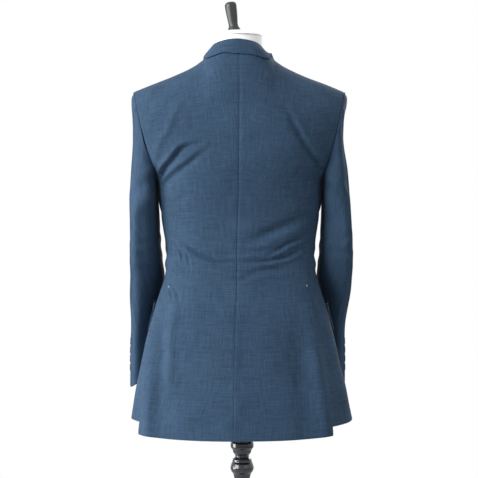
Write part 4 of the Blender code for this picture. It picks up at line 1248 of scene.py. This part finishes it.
def makeHoles():
    deselectAll()
    bpy.ops.mesh.primitive_torus_add(major_radius=1, minor_radius=0.14, major_segments=48, minor_segments=8)
    ring = shaped(bpy.context.object, (1, 0.17, 0.5))
    ring.name = "unitButtonhole"
    places = []
    lift = coat["wall"] + 2 * coat["gap"] + holes["lift"]
    for z in buttons["jacketLevels"]:
        places.append(frontPlacement(-0.0025, z, lift, 0, holes["jacketLength"]))
    for z in buttons["waistcoatLevels"]:
        lift = waistcoat["wall"] + 2 * coat["gap"] + waistcoatLiftAt(z)
        places.append(frontPlacement(-0.002, z, lift, waistcoat["inset"], holes["waistcoatLength"]))
    turn = sleeve["buttonTurn"] + holes["sleeveShift"]
    for name in sides:
        for z in sleeve["buttonLevels"]:
            places.append(sleevePlacement(name, turn, z, holes["lift"], holes["sleeveLength"]))
    finished(joined("buttonholes", [copied(ring, "hole", place) for place in places]), thread)
    bpy.data.objects.remove(ring)


# Basting crosses that still hold the tops of the vents

crosses = {
    "length": 0.0028, "thickness": 0.00040, "lift": 0.0012,
    "places": ((0.1495, 1.0100), (-0.1372, 1.0125)),
}


def makeCrosses():
    made = []
    for x, z in crosses["places"]:
        for turn in (42, 128):
            deselectAll()
            bpy.ops.mesh.primitive_uv_sphere_add(segments=10, ring_count=12, radius=1, location=(0, 0, 0))
            size = (crosses["length"], crosses["thickness"], crosses["thickness"])
            stitch = shaped(bpy.context.object, size, turn=math.radians(turn))
            sideways, level = np.array([x]), np.array([z])
            facing = torsoNormal(sideways, level, back)[0]
            place = leaned(raised(sideways, level, back, crosses["lift"]))[0]
            stitch.data.transform(placement(place, facing, np.array((-1.0, 0, 0)), 1.0))
            made.append(stitch)
    finished(joined("ventBasting", made), basting)


# Waistcoat: two fronts that lap and a back, with the coat over them

waistcoat = {
    "frontGrid": (56, 120),
    "backGrid": (90, 110),
    "wall": 0.0015,
    "inset": 0.0055,
    "frontInset": 0.006,
    "waistInset": 0.0045,
    "neckInset": 0.0056,
    "shoulderRise": 0.0026,
    "neckX": 0.089,
    "sideTop": 1.19,
    "sideHem": 0.985,
    "deeper": 0.0022,
    "backDeeper": 0.002,
    "sideGap": 0.006,
    "soft": 0.001,
}
waistcoatNeckline = SizeTable("x z", (0, 1478), (50, 1477), (89, 1476))
waistcoatEdgeRows = SizeTable(
    "z x",
    (930, 40), (955, 12), (985, -9), (1200, -10), (1230, 2), (1360, 45), (1479, 89),
)
waistcoatArmholeRows = SizeTable("z x", (1190, 160), (1230, 156), (1300, 147), (1380, 140), (1460, 136))


def waistcoatLift(x, height, side):
    lift = waistcoat["shoulderRise"] * ease((height - 1.37) / 0.07) * ease((np.abs(x) - 0.08) / 0.03)
    lift = lift - waistcoat["waistInset"] * ease((1.065 - height) / 0.06)
    lift = lift - waistcoat["neckInset"] * ease((0.10 - np.abs(x)) / 0.03) * ease((height - 1.35) / 0.06)
    lift = lift - waistcoat["deeper"] * (1 - ease((height - 1.34) / 0.07))
    if side == front:
        chest = 1 - ease((height - 1.30) / 0.10)
        lift = lift - waistcoat["frontInset"] * ease((0.10 - np.abs(x)) / 0.06) * chest
    return lift


def waistcoatEdge(height):
    low = bodyRows.read("halfWidth", height) - waistcoat["inset"]
    high = waistcoatArmholeRows.read("x", levelOf(0.14, height))
    return np.where(height < waistcoat["sideTop"], low, high)


waistcoatCreases = creaseRows(
    waistcoat,
    ("soft", -1.6, 7.5, 0.5, (20, 1120), (60, 1128), (110, 1150)),
    ("soft", -1.6, 7, 0.5, (20, 1075), (65, 1070), (115, 1085)),
    ("soft", -1.2, 7, 0.5, (20, 1035), (60, 1024), (110, 1030)),
)


def makeWaistcoatFront(name):
    sign = sides[name]
    hem = waistcoat["sideHem"]
    pointDrop = hem - waistcoatEdgeRows.rows[0][0]

    def place(u, v):
        height = mix(hem, ridgeTop, v) - pointDrop * (1 - u) * np.maximum(1 - v * 16, 0)
        start = waistcoatEdgeRows.read("x", levelOf(waistcoat["neckX"], height, waistcoat["inset"]))
        edge = waistcoatEdge(height)
        x = frontAcross(start, edge, widthAt(height, edge, waistcoat["inset"]), u * 0.99)
        lift = waistcoatLift(x, height, front)
        if name == "left":
            lift = lift + (waistcoat["wall"] + 2 * coat["gap"]) * overlapShare(x, height, 1.22)
        return raised(x, height, front, lift, waistcoat["inset"]) * (sign, 1, 1)

    def relief(u, v, points):
        x, z = points[:, 0] * sign, points[:, 2]
        lift = creased(x, z, waistcoatCreases) + unevenness(points[:, 0], z, "waistcoatFront")
        return lift * ease((x - 0.02) / 0.02) * ease((1 - v) / 0.05) + seamDip(u * 0.16, "waistcoatEdge")

    label, grid = f"waistcoatFront_{name}", waistcoat["frontGrid"]
    makeSheet(label, f"waistcoat_front_{name}", grid, place, relief, sign < 0, wall=waistcoat["wall"])


def makeWaistcoatBack():
    def place(u, v):
        height = mix(waistcoat["sideHem"], ridgeTop, v)
        edge = waistcoatEdge(height)
        share = mix(waistcoat["sideGap"], 1 - waistcoat["sideGap"], u)
        x = across(-edge, edge, widthAt(height, edge, waistcoat["inset"]), share)
        top = neckHeight(x, height, waistcoatNeckline, waistcoat["inset"])
        lift = waistcoatLift(x, height, back) - waistcoat["backDeeper"] * ease((1.30 - height) / 0.05)
        return raised(x, top, back, lift, waistcoat["inset"])

    def relief(u, v, points):
        centre = seamDip(np.abs(u - 0.5) * 0.3, "waistcoatCentre")
        return unevenness(points[:, 0], points[:, 2], "waistcoatBack") * ease((1 - v) / 0.05) + centre

    label, grid = "waistcoatBack", waistcoat["backGrid"]
    makeSheet(label, "waistcoat_back", grid, place, relief, True, wall=waistcoat["wall"])


# Dress form, limbless, with a cap on its neck and a turned finial

form = {"sides": 96, "rows": 120, "power": 2.2, "slimmer": 0.003, "slimBelow": 1.455}
formRows = SizeTable(
    "z halfWidth back front",
    (800, 148, 104, 94), (870, 161, 111, 98), (940, 163, 101, 97), (1000, 156, 86, 97), (1050, 148, 77, 98),
    (1100, 147.5, 75, 100), (1170, 155, 83, 105), (1235, 163, 95, 112), (1300, 175, 101, 113),
    (1345, 181, 102, 109), (1385, 181, 101, 101), (1410, 172, 93, 92), (1430, 154, 82, 81),
    (1445, 134, 72, 72), (1455, 110, 67, 66), (1465, 86, 63, 62), (1478, 73, 64, 62), (1495, 57.5, 57, 56),
    (1515, 51.5, 51.5, 51), (1541, 50, 50, 49.5),
)


def makeForm():
    deselectAll()
    bpy.ops.mesh.primitive_cylinder_add(vertices=form["sides"], radius=1, depth=1, location=(0, 0, 0))
    piece = bpy.context.object
    piece.name = "formTorso"
    inEdit(piece)
    bpy.ops.mesh.bisect(plane_co=(0, 0, 0), plane_no=(0, 0, 1))
    for row in range(1, form["rows"]):
        level = row / form["rows"] - 0.5
        if abs(level) > 1e-6:
            bpy.ops.mesh.select_all(action="SELECT")
            bpy.ops.mesh.bisect(plane_co=(0, 0, level), plane_no=(0, 0, 1))
    bpy.ops.object.mode_set(mode="OBJECT")
    points = meshPoints(piece)
    z = mix(formRows.rows[0][0], formRows.rows[-1][0], points[:, 2] + 0.5)
    angle = np.arctan2(points[:, 0], points[:, 1])
    slim = form["slimmer"] * ease((form["slimBelow"] - z) / 0.02)
    halfWidth = formRows.read("halfWidth", z) - slim
    depth = np.where(np.cos(angle) > 0, formRows.read("back", z), formRows.read("front", z)) - slim
    x = halfWidth * signedPower(np.sin(angle), 2 / form["power"])
    y = coat["ridgeY"] * ease((z - 1.30) / 0.10) + depth * signedPower(np.cos(angle), 2 / form["power"])
    setPoints(piece, leaned(stacked(x, y, z)))
    smoothed(piece, 40)
    finished(piece, jersey, "form_torso")


neckShift = (1.55 - coat["leanFrom"]) * coat["lean"]
stand = {"sides": 128, "baseSides": 160, "finialTilt": math.radians(8), "finialPlace": (0.009, -0.004, 1.5542)}

# Each row is a radius and a level in mm
neckCapProfile = [(4, 1552.5), (32, 1551.5), (45.5, 1547.5), (50, 1542), (50, 1541.3), (4, 1541.3)]
finialProfile = [
    (2, 62.5), (9.5, 61), (12.8, 57), (13, 52), (12.2, 36), (10.2, 15), (10.6, 9), (14.2, 2.5), (14.2, 0),
    (2, 0),
]
postProfile = [
    (2, 799.7), (30, 799.7), (30, 794), (15, 790), (15, 686), (22.5, 680), (24.6, 675.5), (24.6, 667),
    (20.5, 662), (18.7, 655), (14.6, 650), (14.6, 646), (20.3, 642), (20.3, 637), (22.5, 633), (25.3, 623),
    (22.5, 615), (19, 611), (16.7, 602), (15, 560), (18, 420), (21.5, 290), (18, 200), (15, 170),
    (24.5, 155), (24.5, 145), (17, 130), (23, 95), (30, 80.3), (2, 80.3),
]
baseProfile = [
    (2, 80), (32, 80), (45, 72), (50, 56), (90, 42), (150, 32), (172, 27), (180, 18), (180, 4), (176, 0),
    (2, 0),
]


def makeStand():
    cap = turnedPiece("neckCap", np.array(neckCapProfile) / 1000, 96, 0.004)
    shaped(cap, (1, 1, 1), (neckShift, 0, 0))
    finished(cap, jersey, "form_neck_cap")
    finial = turnedPiece("finial", np.array(finialProfile) / 1000, 64, 0.0025)
    place = Vector(stand["finialPlace"]) + Vector((neckShift, 0, 0))
    finial.data.transform(Matrix.Translation(place) @ Matrix.Rotation(stand["finialTilt"], 4, "Y"))
    finished(finial, stained, "form_finial")
    post = turnedPiece("post", np.array(postProfile) / 1000, stand["sides"], 0.0022)
    finished(post, lacquer, "stand_post")
    base = turnedPiece("base", np.array(baseProfile) / 1000, stand["baseSides"], 0.006)
    finished(base, lacquer, "stand_base")


for sideName in sides:
    for make in (makeBack, makeSide, makeFront, makeLapel):
        make(sideName)
print("coat body and lapels laid out")
makeCollar()
for sideName in sides:
    fore = sleeve["hindSeam"] + math.pi
    makeSleeve(sideName, "upper", fore - 2 * math.pi, sleeve["hindSeam"])
    makeSleeve(sideName, "under", sleeve["hindSeam"], fore)
print("collar and sleeves set")
for sideName in sides:
    makeFlap(sideName)
    makeWaistcoatFront(sideName)
makeWaistcoatBack()
print("flaps and waistcoat made")
makeButtons()
makeHoles()
makeCrosses()
print("buttons sewn on")
makeForm()
makeStand()
print("form and stand turned")

for label, (width, length, area) in sheetSizes.items():
    print("sheet", label, width, length, area)
    if label.startswith("pocketJet"):
        continue


# Studio: a round pale floor, a white surround and soft lights, the main one behind on the wearer's left

studio = {
    "floorRadius": 1.3,
    "floorTones": (0.441, 0.459),
    "ambientAbove": 0.88,
    "ambientBelow": 0.25,
    "lights": {
        "keyLight": {"place": (2.87, 1.79, 2.33), "size": 2.4, "power": 178.0},
        "fillLight": {"place": (-1.5, -2.4, 2.4), "size": 1.6, "power": 40.0},
        "sideLight": {"place": (3.53, 0.31, 0.48), "size": 1.8, "power": 105.0},
        "rightLight": {"place": (-2.3, 2.3, 2.6), "size": 2.0, "power": 9.0},
    },
    "lightTarget": (0, 0, 1.1),
    "cameraPlace": (0.0066, 2.9, 1.11),
    "lens": 102.5,
}

deselectAll()
radius = studio["floorRadius"]
bpy.ops.mesh.primitive_circle_add(vertices=128, radius=radius, fill_type="NGON", location=(0, 0, 0))
floor = bpy.context.object
floor.name = "studioFloor"
floorColours = [(tone, tone, tone) for tone in studio["floorTones"]]
floor.data.materials.append(grainFinish("studioFloorPaint", 1.5, 2.0, *floorColours, {"Roughness": 0.9}))

# The surround shows white, and lights the object a little less
world = bpy.data.worlds.new("studioSurround")
bpy.context.scene.world = world
world.use_nodes = True
tree = world.node_tree
surround = tree.nodes["Background"]
surround.inputs["Color"].default_value = (1, 1, 1, 1)
direction = tree.nodes.new("ShaderNodeTexCoord")
parts = tree.nodes.new("ShaderNodeSeparateXYZ")
tree.links.new(direction.outputs["Generated"], parts.inputs[0])
above = tree.nodes.new("ShaderNodeMapRange")
above.interpolation_type = "SMOOTHSTEP"
tree.links.new(parts.outputs["Z"], above.inputs[0])
for socket, amount in zip(above.inputs[1:5], (-0.5, 0.3, studio["ambientBelow"], studio["ambientAbove"])):
    socket.default_value = amount
seen = tree.nodes.new("ShaderNodeLightPath")
strength = tree.nodes.new("ShaderNodeMix")
tree.links.new(seen.outputs["Is Camera Ray"], strength.inputs[0])
tree.links.new(above.outputs[0], strength.inputs[2])
strength.inputs[3].default_value = 1.0
tree.links.new(strength.outputs[0], surround.inputs["Strength"])

for name, facts in studio["lights"].items():
    data = bpy.data.lights.new(name, "AREA")
    data.size = facts["size"]
    data.energy = facts["power"]
    light = bpy.data.objects.new(name, data)
    light.location = facts["place"]
    light.rotation_euler = (Vector(studio["lightTarget"]) - light.location).to_track_quat("-Z", "Y").to_euler()
    bpy.context.scene.collection.objects.link(light)

lensData = bpy.data.cameras.new("camera")
lensData.lens = studio["lens"]
lensData.sensor_width = 36
lensData.clip_end = 60
camera = bpy.data.objects.new("camera", lensData)
camera.location = studio["cameraPlace"]
camera.rotation_euler = (math.radians(90), 0, math.radians(180))
bpy.context.scene.collection.objects.link(camera)
bpy.context.scene.camera = camera
bpy.context.scene.view_settings.view_transform = "Standard"
print("studio lit")
